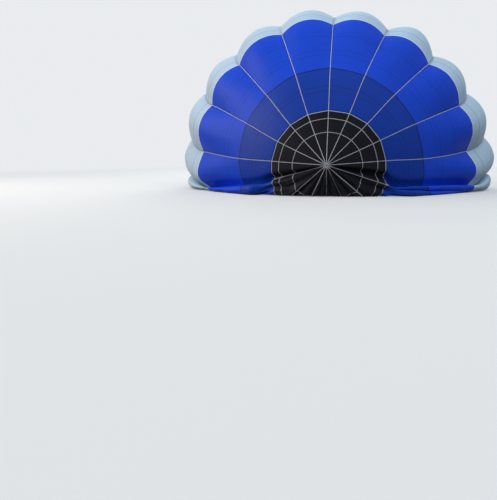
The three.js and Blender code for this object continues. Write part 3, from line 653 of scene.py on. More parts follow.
def add_tube(bm, path, radius, sides=8, closed=False):
    """Adds a round tube along a list of points. The radius is a number or a function of the share."""
    count = len(path)
    frames = []
    side = None
    for i, point in enumerate(path):
        before = path[(i - 1) % count] if closed or i else path[0]
        after = path[(i + 1) % count] if closed or i < count - 1 else path[-1]
        along = (after - before).normalized()
        if side is None:
            side = along.orthogonal().normalized()
        else:
            side = (side - along * side.dot(along)).normalized()
        frames.append((point, side, along.cross(side)))
    if closed:
        frames.append(frames[0])
    stations = len(frames) - 1

    def place(u, v):
        point, first, second = frames[round(v * stations)]
        wide = radius(v) if callable(radius) else radius
        return point + first * (wide * cos(2 * pi * u)) + second * (wide * sin(2 * pi * u))

    carried_grid(bm, sides, stations, place)


def round_length(length, depth, corner):
    """The length round a rectangle with round corners."""
    return 2 * (length + depth) - 8 * corner + 2 * pi * corner


def round_path(distance, length, depth, corner):
    """The place and outward direction at a distance round a rectangle with round corners."""
    arc = corner * pi / 2
    distance %= round_length(length, depth, corner)
    for x, y in ((1, 0), (0, 1), (-1, 0), (0, -1)):
        along, out = Vector((x, y)), Vector((y, -x))
        run = abs(length * x + depth * y) - 2 * corner
        start = out * abs(length * y - depth * x) / 2 - along * run / 2
        if distance <= run:
            return start + along * distance, out
        distance -= run
        if distance <= arc:
            turned = out * cos(distance / corner) + along * sin(distance / corner)
            return start + along * run - out * corner + turned * corner, turned
        distance -= arc
    return Vector((corner - length / 2, -depth / 2)), Vector((0, -1))


def beside(spot, out, reach, z):
    """A place beside a point of a round path, at a height."""
    return Vector((spot.x + out.x * reach, spot.y + out.y * reach, z))


# Materials.


class Nodes:
    """A node tree, with short ways to add to it."""

    def __init__(self, tree):
        self.tree = tree

    def link(self, source, target):
        """Joins two sockets."""
        self.tree.links.new(source, target)

    def add(self, kind, inputs=None, **settings):
        """A new node with its settings. Each input is a value or another node's socket."""
        made = self.tree.nodes.new(f"ShaderNode{kind}")
        for key, value in settings.items():
            setattr(made, key, value)
        for key, value in (inputs or {}).items():
            if isinstance(value, bpy.types.NodeSocket):
                self.link(value, made.inputs[key])
            else:
                made.inputs[key].default_value = value
        return made

    def maths(self, operation, *values):
        """A sum, product or comparison of sockets and numbers."""
        return self.add("Math", dict(enumerate(values)), operation=operation).outputs[0]

    def fade(self, value, start, end, low, high):
        """A smooth run from low to high while a value goes from start to end."""
        inputs = {"Value": value, "From Min": start, "From Max": end, "To Min": low, "To Max": high}
        return self.add("MapRange", inputs, interpolation_type="SMOOTHSTEP").outputs[0]

    def mix(self, factor, first, second):
        """A colour mix. Each side is a socket or a colour."""
        made = {0: factor}
        for key, side in ((6, first), (7, second)):
            made[key] = side if isinstance(side, bpy.types.NodeSocket) else (*side, 1.0)
        return self.add("Mix", made, data_type="RGBA").outputs[2]

    def blend(self, factor, first, second, output):
        """A blend of two shaders that becomes the tree's result."""
        made = self.add("MixShader", {0: factor, 1: first.outputs[0], 2: second.outputs[0]})
        self.link(made.outputs[0], self.tree.nodes[output].inputs[0])

    def place(self, stretch=(1, 1, 1)):
        """Object coordinates, stretched."""
        coordinates = self.add("TexCoord").outputs["Object"]
        return self.add("Mapping", {"Vector": coordinates, "Scale": stretch}).outputs["Vector"]

    def noise(self, scale, detail=2.0, roughness=0.5, stretch=(1, 1, 1)):
        """Noise on Object coordinates."""
        inputs = {"Scale": scale, "Detail": detail, "Roughness": roughness, "Vector": self.place(stretch)}
        return self.add("TexNoise", inputs).outputs["Fac"]


class Look(Nodes):
    """A material of one Principled shader, with constant sockets and nodes for what varies."""

    def __init__(self, name, **sockets):
        self.material = bpy.data.materials.new(name)
        self.material.use_nodes = True
        super().__init__(self.material.node_tree)
        self.shader = self.tree.nodes["Principled BSDF"]
        for socket, value in sockets.items():
            self.shader.inputs[socket.replace("_", " ")].default_value = value

    def colour(self, source):
        """Gives the surface its colour."""
        self.link(source, self.shader.inputs["Base Color"])

    def bump(self, height, strength, distance, normal=None):
        """Bump on the surface, over another bump's normal if one is given."""
        made = self.add("Bump", {"Strength": strength, "Distance": distance, "Height": height})
        if normal is not None:
            self.link(normal, made.inputs["Normal"])
        self.link(made.outputs["Normal"], self.shader.inputs["Normal"])
        return made.outputs["Normal"]

    def ripstop(self):
        """Fine square ribs and a soft unevenness, on cloth that has the metres attribute."""
        ribs = {"Scale": 60.0, "Mortar Size": 0.04, "Brick Width": 0.5, "Row Height": 0.5}
        ribs["Vector"] = self.add("Attribute", attribute_name="metres").outputs["Vector"]
        fine = self.bump(self.add("TexBrick", ribs, offset=0.0).outputs["Fac"], 0.12, 0.001)
        self.bump(self.noise(1.1, 5.0, 0.55), 0.3, 0.06, fine)


def shades(colour, darker, lighter):
    """A darker and a lighter shade of a colour."""
    return [c * darker for c in colour], [min(c * lighter, 1) for c in colour]


def gore_material(settings):
    """Blue cloth with a painted shade round the crown, the belt and the panel seams."""
    look = Look("gore_cloth", Roughness=0.5, Specular_IOR_Level=0.22)
    place = look.add("Attribute", attribute_name="place").outputs["Vector"]
    row = look.add("SeparateXYZ", {0: place}).outputs["Y"]
    mottle = look.noise(0.35, 3.0)
    blue = look.mix(mottle, *shades(settings.blue, 0.9, 1.12))
    # Painted shade: a darker blue round the crown stands in for less light coming through the cloth there.
    painted_crown_shade = look.mix(mottle, *shades(settings.crown_shade_blue, 0.88, 1.14))
    white = look.mix(mottle, *shades(settings.belt, 0.95, 1.04))
    base = look.mix(look.maths("LESS_THAN", row, CROWN_SHADE_ROW), blue, painted_crown_shade)
    after = look.maths("GREATER_THAN", row, BORDER_ROW)
    before = look.maths("LESS_THAN", row, LOWER_BORDER_ROW)
    base = look.mix(look.maths("MULTIPLY", after, before), base, white)
    lines = [(*seam, SEAM_SHADE) for seam in PANEL_SEAMS]
    for place, half_width, strength, shade in (*lines, PIPING):
        line = look.maths("COMPARE", row, place, half_width)
        base = look.mix(look.maths("MULTIPLY", line, strength), base, shade)
    look.colour(base)
    look.ripstop()
    return look.material


def plain_cloth(name, colour, spread, **sockets):
    """Cloth of one colour with a mottle."""
    look = Look(name, **sockets)
    look.colour(look.mix(look.noise(0.8, 4.0), *shades(colour, 1 - spread, 1 + spread)))
    look.ripstop()
    return look.material


def webbing_material(name, colour, worn):
    """Woven tape with soiled patches."""
    look = Look(name, Roughness=0.8, Sheen_Weight=0.15)
    base = look.mix(look.noise(2.5, 6.0, 0.6), *shades(colour, worn, 1.15))
    fine = look.maths("MULTIPLY", look.noise(40.0, 3.0), 0.3)
    look.colour(look.mix(fine, base, [c * 0.55 for c in colour]))
    weave = {"Scale": 120.0, "Vector": look.place()}
    wave = look.add("TexWave", weave, wave_type="BANDS", bands_direction="DIAGONAL")
    look.bump(wave.outputs["Fac"], 0.4, 0.002)
    return look.material


def brushed_metal(name, colour, roughness, stretch=(1, 1, 1), tint=None):
    """Metal with fine scratches in one direction, dull patches and, if given, a heat tint."""
    look = Look(name, Metallic=1.0)
    scratch = look.noise(30.0, 4.0, 0.6, stretch)
    patch = look.noise(3.0, 4.0)
    base = look.mix(scratch, *shades(colour, 0.82, 1.12))
    if tint:
        base = look.mix(look.maths("MULTIPLY", patch, 0.9), base, tint)
    look.colour(base)
    rough = look.maths("MULTIPLY_ADD", patch, 0.25, roughness - 0.1)
    look.link(rough, look.shader.inputs["Roughness"])
    look.bump(scratch, 0.12, 0.002)
    return look.material


def wicker_material(settings):
    """Cane with its grain along it and with darker and lighter lengths."""
    look = Look("wicker", Roughness=0.55)
    grain = look.noise(60.0, 4.0, 0.6, (0.2, 1, 1))
    base = look.mix(look.noise(7.0, 3.0, 0.6), *shades(settings.wicker, 0.6, 1.35))
    look.colour(look.mix(look.maths("MULTIPLY", grain, 0.5), base, [c * 0.35 for c in settings.wicker]))
    look.bump(grain, 0.35, 0.004)
    return look.material


def leather_material(name, colour, grain_size):
    """Suede with grain, scuffs and darker patches."""
    look = Look(name, Roughness=0.85, Sheen_Weight=0.3)
    base = look.mix(look.noise(4.0, 5.0, 0.6), *shades(colour, 0.6, 1.4))
    scuff = look.maths("GREATER_THAN", look.noise(18.0, 6.0, 0.7), 0.62)
    look.colour(look.mix(look.maths("MULTIPLY", scuff, 0.35), base, [min(c * 2.2, 1) for c in colour]))
    grain = look.add("TexVoronoi", {"Scale": grain_size, "Vector": look.place()})
    look.bump(grain.outputs["Distance"], 0.3, 0.002)
    return look.material


def timber_material(settings):
    """Varnished ash or plywood with long grain."""
    look = Look("timber", Roughness=0.45, Coat_Weight=0.3, Coat_Roughness=0.3)
    grain = look.noise(14.0, 6.0, 0.65, (0.12, 1, 1))
    growth = {"Scale": 6.0, "Distortion": 6.0, "Detail": 3.0, "Vector": look.place((0.15, 1, 1))}
    rings = look.add("TexWave", growth, wave_type="BANDS", bands_direction="Y").outputs["Fac"]
    base = look.mix(rings, *shades(settings.timber, 0.7, 1.15))
    look.colour(look.mix(look.maths("MULTIPLY", grain, 0.6), base, [c * 0.5 for c in settings.timber]))
    look.bump(grain, 0.2, 0.002)
    return look.material


def colour_property(name, description, default):
    """A colour that a user may change."""
    return FloatVectorProperty(name=name, description=description, subtype="COLOR", default=default)


def length_property(name, description, default):
    """A length that a user may change."""
    return FloatProperty(name=name, description=description, unit="LENGTH", default=default)


def angle_property(name, description, degrees):
    """An angle that a user may change."""
    return FloatProperty(name=name, description=description, subtype="ANGLE", default=radians(degrees))


class EnvelopeSettings(bpy.types.PropertyGroup):
    """Cloth and tape of the envelope."""

    blue: colour_property("Blue", "Cloth of the gores", (0.004, 0.066, 0.69))
    # Painted shade: a darker blue for the cloth round the crown, standing in for less light coming through
    # it.
    crown_shade_blue: colour_property("Deep blue", "Double cloth round the crown", (0.003, 0.046, 0.41))
    belt: colour_property("Belt", "Pale band round the widest part", (0.56, 0.7, 0.84))
    black: colour_property("Black", "Cloth of the valve", (0.0095, 0.008, 0.0125))
    skirt: colour_property("Skirt", "Fire-resistant cloth at the mouth", (0.02, 0.02, 0.024))
    tape: colour_property("Tape", "Load and ring tapes", (0.62, 0.62, 0.65))
    tape_width: length_property("Tape width", "Width of the load tapes", 0.041)
    cloth: length_property("Cloth", "Thickness that the cloth is given", 0.004)
    columns: IntProperty(name="Columns", description="Facets across a gore", default=24)
    stations: IntProperty(name="Stations", description="Facets along a gore", default=160)


class BasketSettings(bpy.types.PropertyGroup):
    """Basket, trim and what stands in it."""

    wicker: colour_property("Wicker", "Cane of the walls", (0.36, 0.19, 0.075))
    suede: colour_property("Suede", "Rim and scuff band", (0.11, 0.055, 0.028))
    timber: colour_property("Timber", "Floor and skids", (0.42, 0.27, 0.14))
    padding: colour_property("Padding", "Covers of the rods", (0.02, 0.02, 0.024))
    aluminium: colour_property("Aluminium", "Cylinders and crown ring", (0.72, 0.73, 0.74))
    canes: IntProperty(name="Canes", description="Canes in the height of the wall", default=58)
    stakes: IntProperty(name="Stakes", description="Stakes round the wall, an even number", default=80)


class BurnerSettings(bpy.types.PropertyGroup):
    """Frame, burners and wires."""

    stainless: colour_property("Stainless", "Frame, gimbal and wires", (0.6, 0.6, 0.61))
    coil: colour_property("Coil", "Vaporiser coils", (0.5, 0.46, 0.42))
    brass: colour_property("Brass", "Valves and jets", (0.62, 0.42, 0.16))
    turns: IntProperty(name="Turns", description="Turns of the vaporiser coil", default=19)


class StageSettings(bpy.types.PropertyGroup):
    """Floor, lights and camera."""

    camera_place: FloatVectorProperty(
        name="Camera",
        description="Place of the camera from the hub",
        unit="LENGTH",
        default=(2.285, -34.635, 2.9),
    )
    camera_turn: angle_property("Turn", "Heading to the left of +Y", 12.043)
    camera_tilt: angle_property("Tilt", "Tilt below the horizon", 10.378)
    camera_roll: angle_property("Roll", "Roll of the camera", -0.436)
    lens: FloatProperty(name="Lens", description="Focal length in mm", default=38.4)
    floor: colour_property("Floor", "Colour of the floor", (0.9, 0.86, 0.815))
    sky: colour_property("Surround", "Colour of the studio's surround", (0.93, 0.95, 0.98))


# Envelope.


def record_places(bm, spots):
    """Stores where each vertex lies on the cloth: round it and its row, and both in metres."""
    place = bm.verts.layers.float_vector.new("place")
    metres = bm.verts.layers.float_vector.new("metres")
    for vert, (around, row, wide) in zip(bm.verts, spots):
        vert[place] = (around, row, 0)
        vert[metres] = (wide, metres_down(row), 0)


def pucker(v, row, width):
    """How far a gore stands proud of its taut shape beside its seams and between them."""
    if row < OPENING_ROW + 0.06 or row > SKIRT_ROW - 0.05:
        return 0.0
    down = metres_down(row)
    edge = min(v, 1 - v) * width
    side = 0.0 if v < 0.5 else 7.3
    wave = sin(2 * pi * down / PUCKER_LENGTH + 2.4 * noise.noise(Vector((down * 0.8, side, 3.1))))
    wave *= PUCKER * exp(-edge / PUCKER_REACH) * smooth((edge - 0.05) / 0.1)
    swell = SWELL * noise.noise(Vector((v * width * 0.5, down * 0.45, side * 0.1)))
    return wave + swell * smooth((edge - 0.05) / 0.8)


def make_gore(gore, settings, material):
    """One gore as a thin sheet between two seams."""
    start = metres_down(OPENING_ROW)
    end = metres_down(SKIRT_ROW)
    spots = []

    def place(u, v):
        row = row_at(round(mix(start, end, v), 5))
        around = gore + min(max(u, 1e-6), 1 - 1e-6)
        width = chord_length(gore, row)
        spots.append((around, row, u * width))
        return cloth_point(around, row, pucker(u, row, width))

    columns = settings.columns * (2 if gore in ROLLED_GORES else 1)
    bm = bmesh.new()
    carried_grid(bm, columns, settings.stations, place)
    record_places(bm, spots)
    bmesh.ops.recalc_face_normals(bm, faces=bm.faces)
    bm.faces.ensure_lookup_table()
    middle = bm.faces[len(bm.faces) // 2]
    if middle.normal.dot(outward(gore + 0.5, 4.5)) < 0:
        bmesh.ops.reverse_faces(bm, faces=bm.faces)
    number = f"{gore + HALF_GORES + 1:02d}"
    node = f"gore_{number}"
    piece = finished(f"gore_cloth_{number}", bm, material, "blue_cloth", [node], thickness=settings.cloth)


class BALLOON_OT_gores(bpy.types.Operator):
    """Make the sixteen gores of the envelope"""

    bl_idname = "balloon.gores"
    bl_label = "Gores"

    def execute(self, context):
        settings = context.scene.balloon_envelope
        material = gore_material(settings)
        for i in range(GORES):
            make_gore(i - HALF_GORES, settings, material)
        return {"FINISHED"}


def valve_point(around, row, lift=0.0):
    """A point of the parachute valve, which swells a little between the load tapes."""
    flat = min(row / VALVE_FLAT_ROW, 1.0)
    at = max(row, VALVE_FLAT_ROW)
    _, v = gore_and_share(around)
    swell = 0.03 * sin(pi * v) * smooth(at) * (1 - smooth((at - 0.9) / 0.1))
    under = 0.05 * smooth((at - OPENING_ROW - 0.02) / 0.08)
    point = cloth_point(around, at, lift + swell - VALVE_DEPTH - under)
    point.z = max(point.z, VALVE_LOWEST)
    if flat < 1:
        centre = Vector((HUB_X, CROWN_Y + VALVE_CENTRE - lift, HUB_Z))
        point = centre + (point - centre) * flat
    return point


def around_of(vert):
    """The place round the envelope of a vertex of a disc drawn about the hub, facing -Y."""
    return atan2(vert.co.x, vert.co.z) / (2 * pi) * GORES


class BALLOON_OT_valve(bpy.types.Operator):
    """Make the parachute valve with its ring tapes"""

    bl_idname = "balloon.valve"
    bl_label = "Parachute valve"

    def execute(self, context):
        settings = context.scene.balloon_envelope
        looks = {"Roughness": 0.5, "Specular_IOR_Level": 0.15}
        cloth = plain_cloth("valve_cloth", settings.black, 0.35, **looks)
        tape = webbing_material("ring_webbing", settings.tape, 0.75)
        rings = 64
        bm = bmesh.new()
        line = [bm.verts.new((0, 0, VALVE_EDGE_ROW * i / rings)) for i in range(rings + 1)]
        edges = [bm.edges.new(pair) for pair in zip(line, line[1:])]
        turned = {"cent": (0, 0, 0), "axis": (0, 1, 0), "angle": 2 * pi, "steps": ROUND_FACETS}
        bmesh.ops.spin(bm, geom=line + edges, use_merge=True, **turned)
        weld(bm)
        spots = []
        for vert in bm.verts:
            around = around_of(vert)
            row = round(hypot(vert.co.x, vert.co.z), 5)
            spots.append((around, row, around * row * OPENING_GORE))
            vert.co = valve_point(around, row)
        record_places(bm, spots)
        valve = finished(
            "valve_cloth", bm, cloth, "black_cloth", ["parachute_valve"], "valve", settings.cloth
        )
        bm = bmesh.new()
        for row in RING_TAPE_ROWS:
            add_round_tape(bm, valve_point, row, -RING_TAPE_WIDTH / 2, RING_TAPE_WIDTH / 2, 0.009)
        patch = bmesh.ops.create_circle(bm, cap_ends=True, segments=32, radius=PATCH_RADIUS)["verts"]
        centre = Vector((HUB_X, CROWN_Y + VALVE_CENTRE - 0.02, HUB_Z))
        for vert in patch:
            vert.co = centre + Vector((vert.co.x, 0, vert.co.y))
        weld(bm)
        finished("valve_ring_tapes", bm, tape, "tape", body="valve", thickness=LOOP_THICKNESS)
        return {"FINISHED"}


def add_round_tape(bm, surface, row, low, high, lift, facets=ROUND_FACETS):
    """Adds a tape right round a surface, between two distances down the cloth from a row."""
    down = metres_down(row)

    def place(u, v):
        at = row_at(round(down + mix(low, high, u), 5))
        return surface(mix(-HALF_GORES, HALF_GORES, v), at, lift)

    carried_grid(bm, 2, facets, place)


def add_load_tape(bm, seam, width):
    """Adds the tape of one seam, folded into the valley between two gores."""
    start = metres_down(TAPE_START_ROW)
    end = metres_down(MOUTH_ROW)

    def place(u, v):
        row = row_at(round(mix(start, end, v), 5))
        offset = (u - 0.5) * width
        gore = seam if offset > 0 else seam - 1
        around = seam + offset / max(chord_length(gore, row), width * 1.2)
        lift = mix(-0.004, 0.006, smooth((row - 0.93) / 0.07)) + (0.012 if abs(seam) > 4 else 0)
        return cloth_point(around, row, lift)

    carried_grid(bm, 4, TAPE_FACETS, place)


def add_crown_loop(bm, seam):
    """Adds the loop of one load tape round the crown ring."""
    angle = seam_course(seam, TAPE_START_ROW)[0]
    out = Vector((sin(angle), 0, cos(angle)))
    across = Vector((cos(angle), 0, -sin(angle)))
    front = CROWN_Y + CROWN_FRONT - 0.004
    back = front + RING_DEPTH + 0.008
    inner, outer = RING_INNER - 0.004, 0.33
    path = [
        (outer, front + 0.016),
        (RING_OUTER + 0.02, front + 0.004),
        (RING_OUTER, front),
        (inner + 0.006, front),
        (inner, front + 0.006),
        (inner, back - 0.006),
        (inner + 0.006, back),
        (RING_OUTER, back),
        (RING_OUTER + 0.02, back - 0.006),
        (outer, front + 0.022),
    ]

    def place(u, v):
        at = v * (len(path) - 1)
        i = min(int(at), len(path) - 2)
        radius = mix(path[i][0], path[i + 1][0], at - i)
        y = mix(path[i][1], path[i + 1][1], at - i)
        half_width = min(LOOP_WIDTH / 2, radius * LOOP_SPREAD)
        point = out * radius + across * ((u - 0.5) * 2 * half_width)
        return Vector((HUB_X + point.x, y, HUB_Z + point.z))

    carried_grid(bm, 2, 27, place)


class BALLOON_OT_tapes(bpy.types.Operator):
    """Make the load tapes, the rim tape of the opening and the crown ring"""

    bl_idname = "balloon.tapes"
    bl_label = "Tapes and crown ring"

    def execute(self, context):
        settings = context.scene.balloon_envelope
        material = webbing_material("load_webbing", settings.tape, 0.8)
        seams = range(1 - HALF_GORES, HALF_GORES + 1)
        bm = bmesh.new()
        for seam in seams:
            add_load_tape(bm, seam, settings.tape_width)
        finished("load_tape_webbing", bm, material, "tape", ["load_tapes"], thickness=TAPE_THICKNESS)
        bm = bmesh.new()
        add_round_tape(bm, cloth_point, OPENING_ROW, -0.012, 0.034, 0.006)
        weld(bm)
        finished("opening_rim_tape", bm, material, "tape", ["load_tapes"], thickness=TAPE_THICKNESS)
        bm = bmesh.new()
        for seam in seams:
            add_crown_loop(bm, seam)
        finished("crown_tape_loops", bm, material, "tape", ["load_tapes"], thickness=LOOP_THICKNESS)
        self.make_ring(context.scene.balloon_basket.aluminium)
        return {"FINISHED"}

    def make_ring(self, colour):
        """The crown ring, a bar of a rounded square section."""
        middle = (RING_OUTER + RING_INNER) / 2
        wide, deep = (RING_OUTER - RING_INNER) / 2, RING_DEPTH / 2

        def place(u, v):
            turn = 2 * pi * v
            section = square_point(2 * pi * u, 0.75)
            radius = middle + wide * section.x
            y = CROWN_Y + CROWN_FRONT + deep + deep * section.y
            return Vector((HUB_X + radius * sin(turn), y, HUB_Z + radius * cos(turn)))

        bm = bmesh.new()
        carried_grid(bm, 16, 96, place)
        weld(bm)
        metal = brushed_metal("crown_aluminium", colour, 0.35, (1, 0.2, 1))
        finished("crown_ring_turned", bm, metal, "aluminium", ["crown_ring"])


class BALLOON_OT_skirt(bpy.types.Operator):
    """Make the fire-resistant skirt with its hem"""

    bl_idname = "balloon.skirt"
    bl_label = "Skirt"

    def execute(self, context):
        settings = context.scene.balloon_envelope
        cloth = plain_cloth("skirt_cloth", settings.skirt, 0.3, Roughness=0.7, Sheen_Weight=0.2)
        spots = []

        def place(u, v):
            row = round(mix(SKIRT_ROW, MOUTH_ROW, v), 5)
            around = mix(-HALF_GORES, HALF_GORES, u)
            spots.append((around, row, u * SKIRT_GIRTH))
            uneven = 2 * noise.noise(Vector((around, 4.0, 1.0)))
            wave = 0.012 * sin(around * pi * 6 + uneven) * smooth(v * 2)
            point = cloth_point(around, row, wave * smooth(abs(sin(around * pi)) * 3))
            point.y += 0.001
            return point

        bm = bmesh.new()
        carried_grid(bm, SKIRT_FACETS, 12, place)
        record_places(bm, spots)
        weld(bm)
        skirt = finished("skirt_cloth", bm, cloth, "skirt_cloth", ["mouth_skirt"], thickness=settings.cloth)
        self.make_hem(settings)
        return {"FINISHED"}

    def make_hem(self, settings):
        """The bands sewn round the mouth and along the join."""
        tape = webbing_material("hem_webbing", settings.tape, 0.7)
        bm = bmesh.new()
        for row, half_width in ((SKIRT_ROW + 0.02, 0.025), (MOUTH_ROW - 0.03, 0.03)):
            add_round_tape(bm, cloth_point, row, -half_width, half_width, 0.016, SKIRT_FACETS)
        weld(bm)
        return finished("skirt_bands", bm, tape, "tape", thickness=0.004)


# Rigging.


def wire_end(seam):
    """Where the wire of a seam starts, just past the end of its load tape."""
    out = outward(seam, MOUTH_ROW)
    end = seam_point(seam, MOUTH_ROW) + out * 0.001
    end.y += 0.0125
    end.z = max(end.z, 0.01)
    return end


def stadium(centre, across, along, width, length):
    """Points of a closed oblong with round ends."""
    points = []
    radius = width / 2
    for angle in circle_turns(40):
        reach = 0
        if abs(sin(angle)) > 1e-6:
            reach = (length / 2 - radius) * (1 if sin(angle) > 0 else -1)
        points.append(centre + across * (radius * cos(angle)) + along * (radius * sin(angle) + reach))
    return points


def make_wire_group(name, replaced, seams, side_x, side_y, steel):
    """Four wires with ferrules, their carabiner and its locking sleeve."""
    bm = bmesh.new()
    base = Vector((side_x * LUG_X, side_y * LUG_Y, CARABINER_BASE))
    eye = LAY @ (base + Vector((0, 0, CARABINER_LENGTH)))
    for i, seam in enumerate(seams):
        start = wire_end(seam)
        end = eye + Vector((0, 0, -side_x * (i - 1.5) * WIRE_SPACING))
        along = (end - start).normalized()
        add_rod(bm, start, end, WIRE_RADIUS, 8)
        for point in (start + along * 0.06, end - along * 0.09):
            add_rod(bm, point - along * 0.022, point + along * 0.022, FERRULE_RADIUS, 10)
        side = along.orthogonal().normalized()
        eyelet = [along * (0.016 + 0.014 * cos(t)) + side * (0.011 * sin(t)) for t in circle_turns(16)]
        add_tube(bm, [start + point for point in eyelet], 0.003, 6, closed=True)
    middle = LAY @ (base + Vector((0, 0, CARABINER_LENGTH / 2)))
    turned = LAY.to_3x3()
    across = turned @ Vector((0, 1, 0))
    along = turned @ Vector((0, 0, 1))
    loop = stadium(middle, across, along, CARABINER_WIDTH, CARABINER_LENGTH)
    add_tube(bm, loop, CARABINER_BAR, 10, closed=True)
    sleeve = middle + across * (CARABINER_WIDTH / 2)
    add_rod(bm, sleeve - along * 0.022, sleeve + along * 0.022, SLEEVE_RADIUS, 12)
    weld(bm)
    finished(name, bm, steel, "stainless", [replaced])


class BALLOON_OT_wires(bpy.types.Operator):
    """Make the sixteen flying wires and their carabiners"""

    bl_idname = "balloon.wires"
    bl_label = "Flying wires"

    def execute(self, context):
        steel = brushed_metal("wire_steel", context.scene.balloon_burners.stainless, 0.3)
        for group in WIRE_GROUPS:
            make_wire_group(*group, steel)
        return {"FINISHED"}


# Basket.


def in_step_hole(x, y, z):
    """Whether a place on a wall of the standing basket is in a foothold."""
    if abs(y) < BASKET_DEPTH / 2 - 2 * WALL:
        return False
    return any(
        abs(x - hole_x) < STEP_WIDTH / 2 and abs(z - hole_z) < STEP_HEIGHT / 2
        for hole_x, hole_z in STEP_HOLES
    )


def add_woven_band(bm, path, heights):
    """Adds canes that weave in and out along a path of places and outward directions."""
    stations = len(path) - 1
    for number, height in enumerate(heights):

        def place(u, v, number=number, height=height):
            i = round(v * stations)
            spot, out = path[i]
            angle = 2 * pi * u
            reach = SWING * cos(pi * i / STAKE_STATIONS + pi * number) + CANE * cos(angle)
            return beside(spot, out, reach, height + CANE * 1.04 * sin(angle))

        carried_grid(bm, 6, stations, place)


def cane_heights(settings, count):
    """The heights of a number of canes, from the foot of the wall up."""
    pitch = (WALL_TOP - WALL_BOTTOM) / settings.canes
    return [WALL_BOTTOM + pitch * (i + 0.5) for i in range(count)]


class BALLOON_OT_basket(bpy.types.Operator):
    """Make the woven walls and the partition"""

    bl_idname = "balloon.basket"
    bl_label = "Woven basket"

    def execute(self, context):
        settings = context.scene.balloon_basket
        wicker = wicker_material(settings)
        around = round_length(*WALL_PATH)
        stations = settings.stakes * STAKE_STATIONS
        path = [round_path(around * i / stations, *WALL_PATH) for i in range(stations)]
        path.append(path[0])
        bm = bmesh.new()
        add_woven_band(bm, path, cane_heights(settings, settings.canes))
        inside = [face for face in bm.faces if in_step_hole(*face.calc_center_median())]
        bmesh.ops.delete(bm, geom=inside, context="FACES")
        laid_down("woven_wall", bm, wicker, "wicker", ["basket_wall"])
        self.make_stakes(path[:-1:STAKE_STATIONS], wicker)
        self.make_step_frames(settings)
        self.make_partition(settings, wicker)
        return {"FINISHED"}

    def make_stakes(self, path, wicker):
        """The upright stakes that the canes weave round."""
        bm = bmesh.new()
        hole = STEP_HOLES[0][1]
        for (x, y), _ in path:
            spans = [(WALL_BOTTOM, WALL_TOP)]
            if in_step_hole(x, y, hole):
                spans = [(WALL_BOTTOM, hole - STEP_HEIGHT / 2), (hole + STEP_HEIGHT / 2, WALL_TOP)]
            for low, high in spans:
                add_rod(bm, (x, y, low), (x, y, high), STAKE_RADIUS, 6)
        laid_down("wall_stakes", bm, wicker, "wicker", ["basket_wall"])

    def make_step_frames(self, settings):
        """The bound edges of the four footholds."""
        leather = leather_material("foothold_leather", settings.suede, 300.0)
        edge = (STEP_WIDTH, STEP_HEIGHT, 0.03)
        bm = bmesh.new()
        for side in (-1, 1):
            for x, z in STEP_HOLES:

                def place(u, v, side=side, x=x, z=z):
                    spot, out = round_path(round_length(*edge) * v, *edge)
                    angle = 2 * pi * u
                    spot = spot + out * (0.009 * cos(angle) + 0.002)
                    y = side * (BASKET_DEPTH - WALL) / 2 + 0.024 * sin(angle)
                    return Vector((x + spot.x, y, z + spot.y))

                carried_grid(bm, 12, 60, place)
        laid_down("foothold_edges", bm, leather, "suede", ["basket_wall"])

    def make_partition(self, settings, wicker):
        """The woven partition with its rolled top."""
        half = BASKET_DEPTH / 2 - WALL - 0.004
        stakes = 15
        stations = stakes * STAKE_STATIONS
        path = [(Vector((0, mix(-half, half, i / stations))), Vector((1, 0))) for i in range(stations)]
        path.append(path[0])
        pitch = (WALL_TOP - WALL_BOTTOM) / settings.canes
        count = int((PARTITION_TOP - WALL_BOTTOM - 0.04) / pitch)
        bm = bmesh.new()
        add_woven_band(bm, path, cane_heights(settings, count))
        for i in range(1, stakes):
            y = mix(-half, half, i / stakes)
            add_rod(bm, (0, y, WALL_BOTTOM), (0, y, PARTITION_TOP - 0.03), STAKE_RADIUS, 6)
        laid_down("woven_partition", bm, wicker, "wicker", ["partition"])

        def place(u, v):
            pinch = 1 - 0.06 * abs(cos(pi * v * 12))
            angle = 2 * pi * u
            rise = 0.0215 * pinch * sin(angle)
            return Vector((0.0235 * pinch * cos(angle), mix(-half, half, v), PARTITION_TOP - 0.022 + rise))

        bm = bmesh.new()
        carried_grid(bm, 16, 96, place)
        leather = leather_material("partition_suede", settings.suede, 260.0)
        roll = laid_down("partition_roll", bm, leather, "suede", ["partition"])


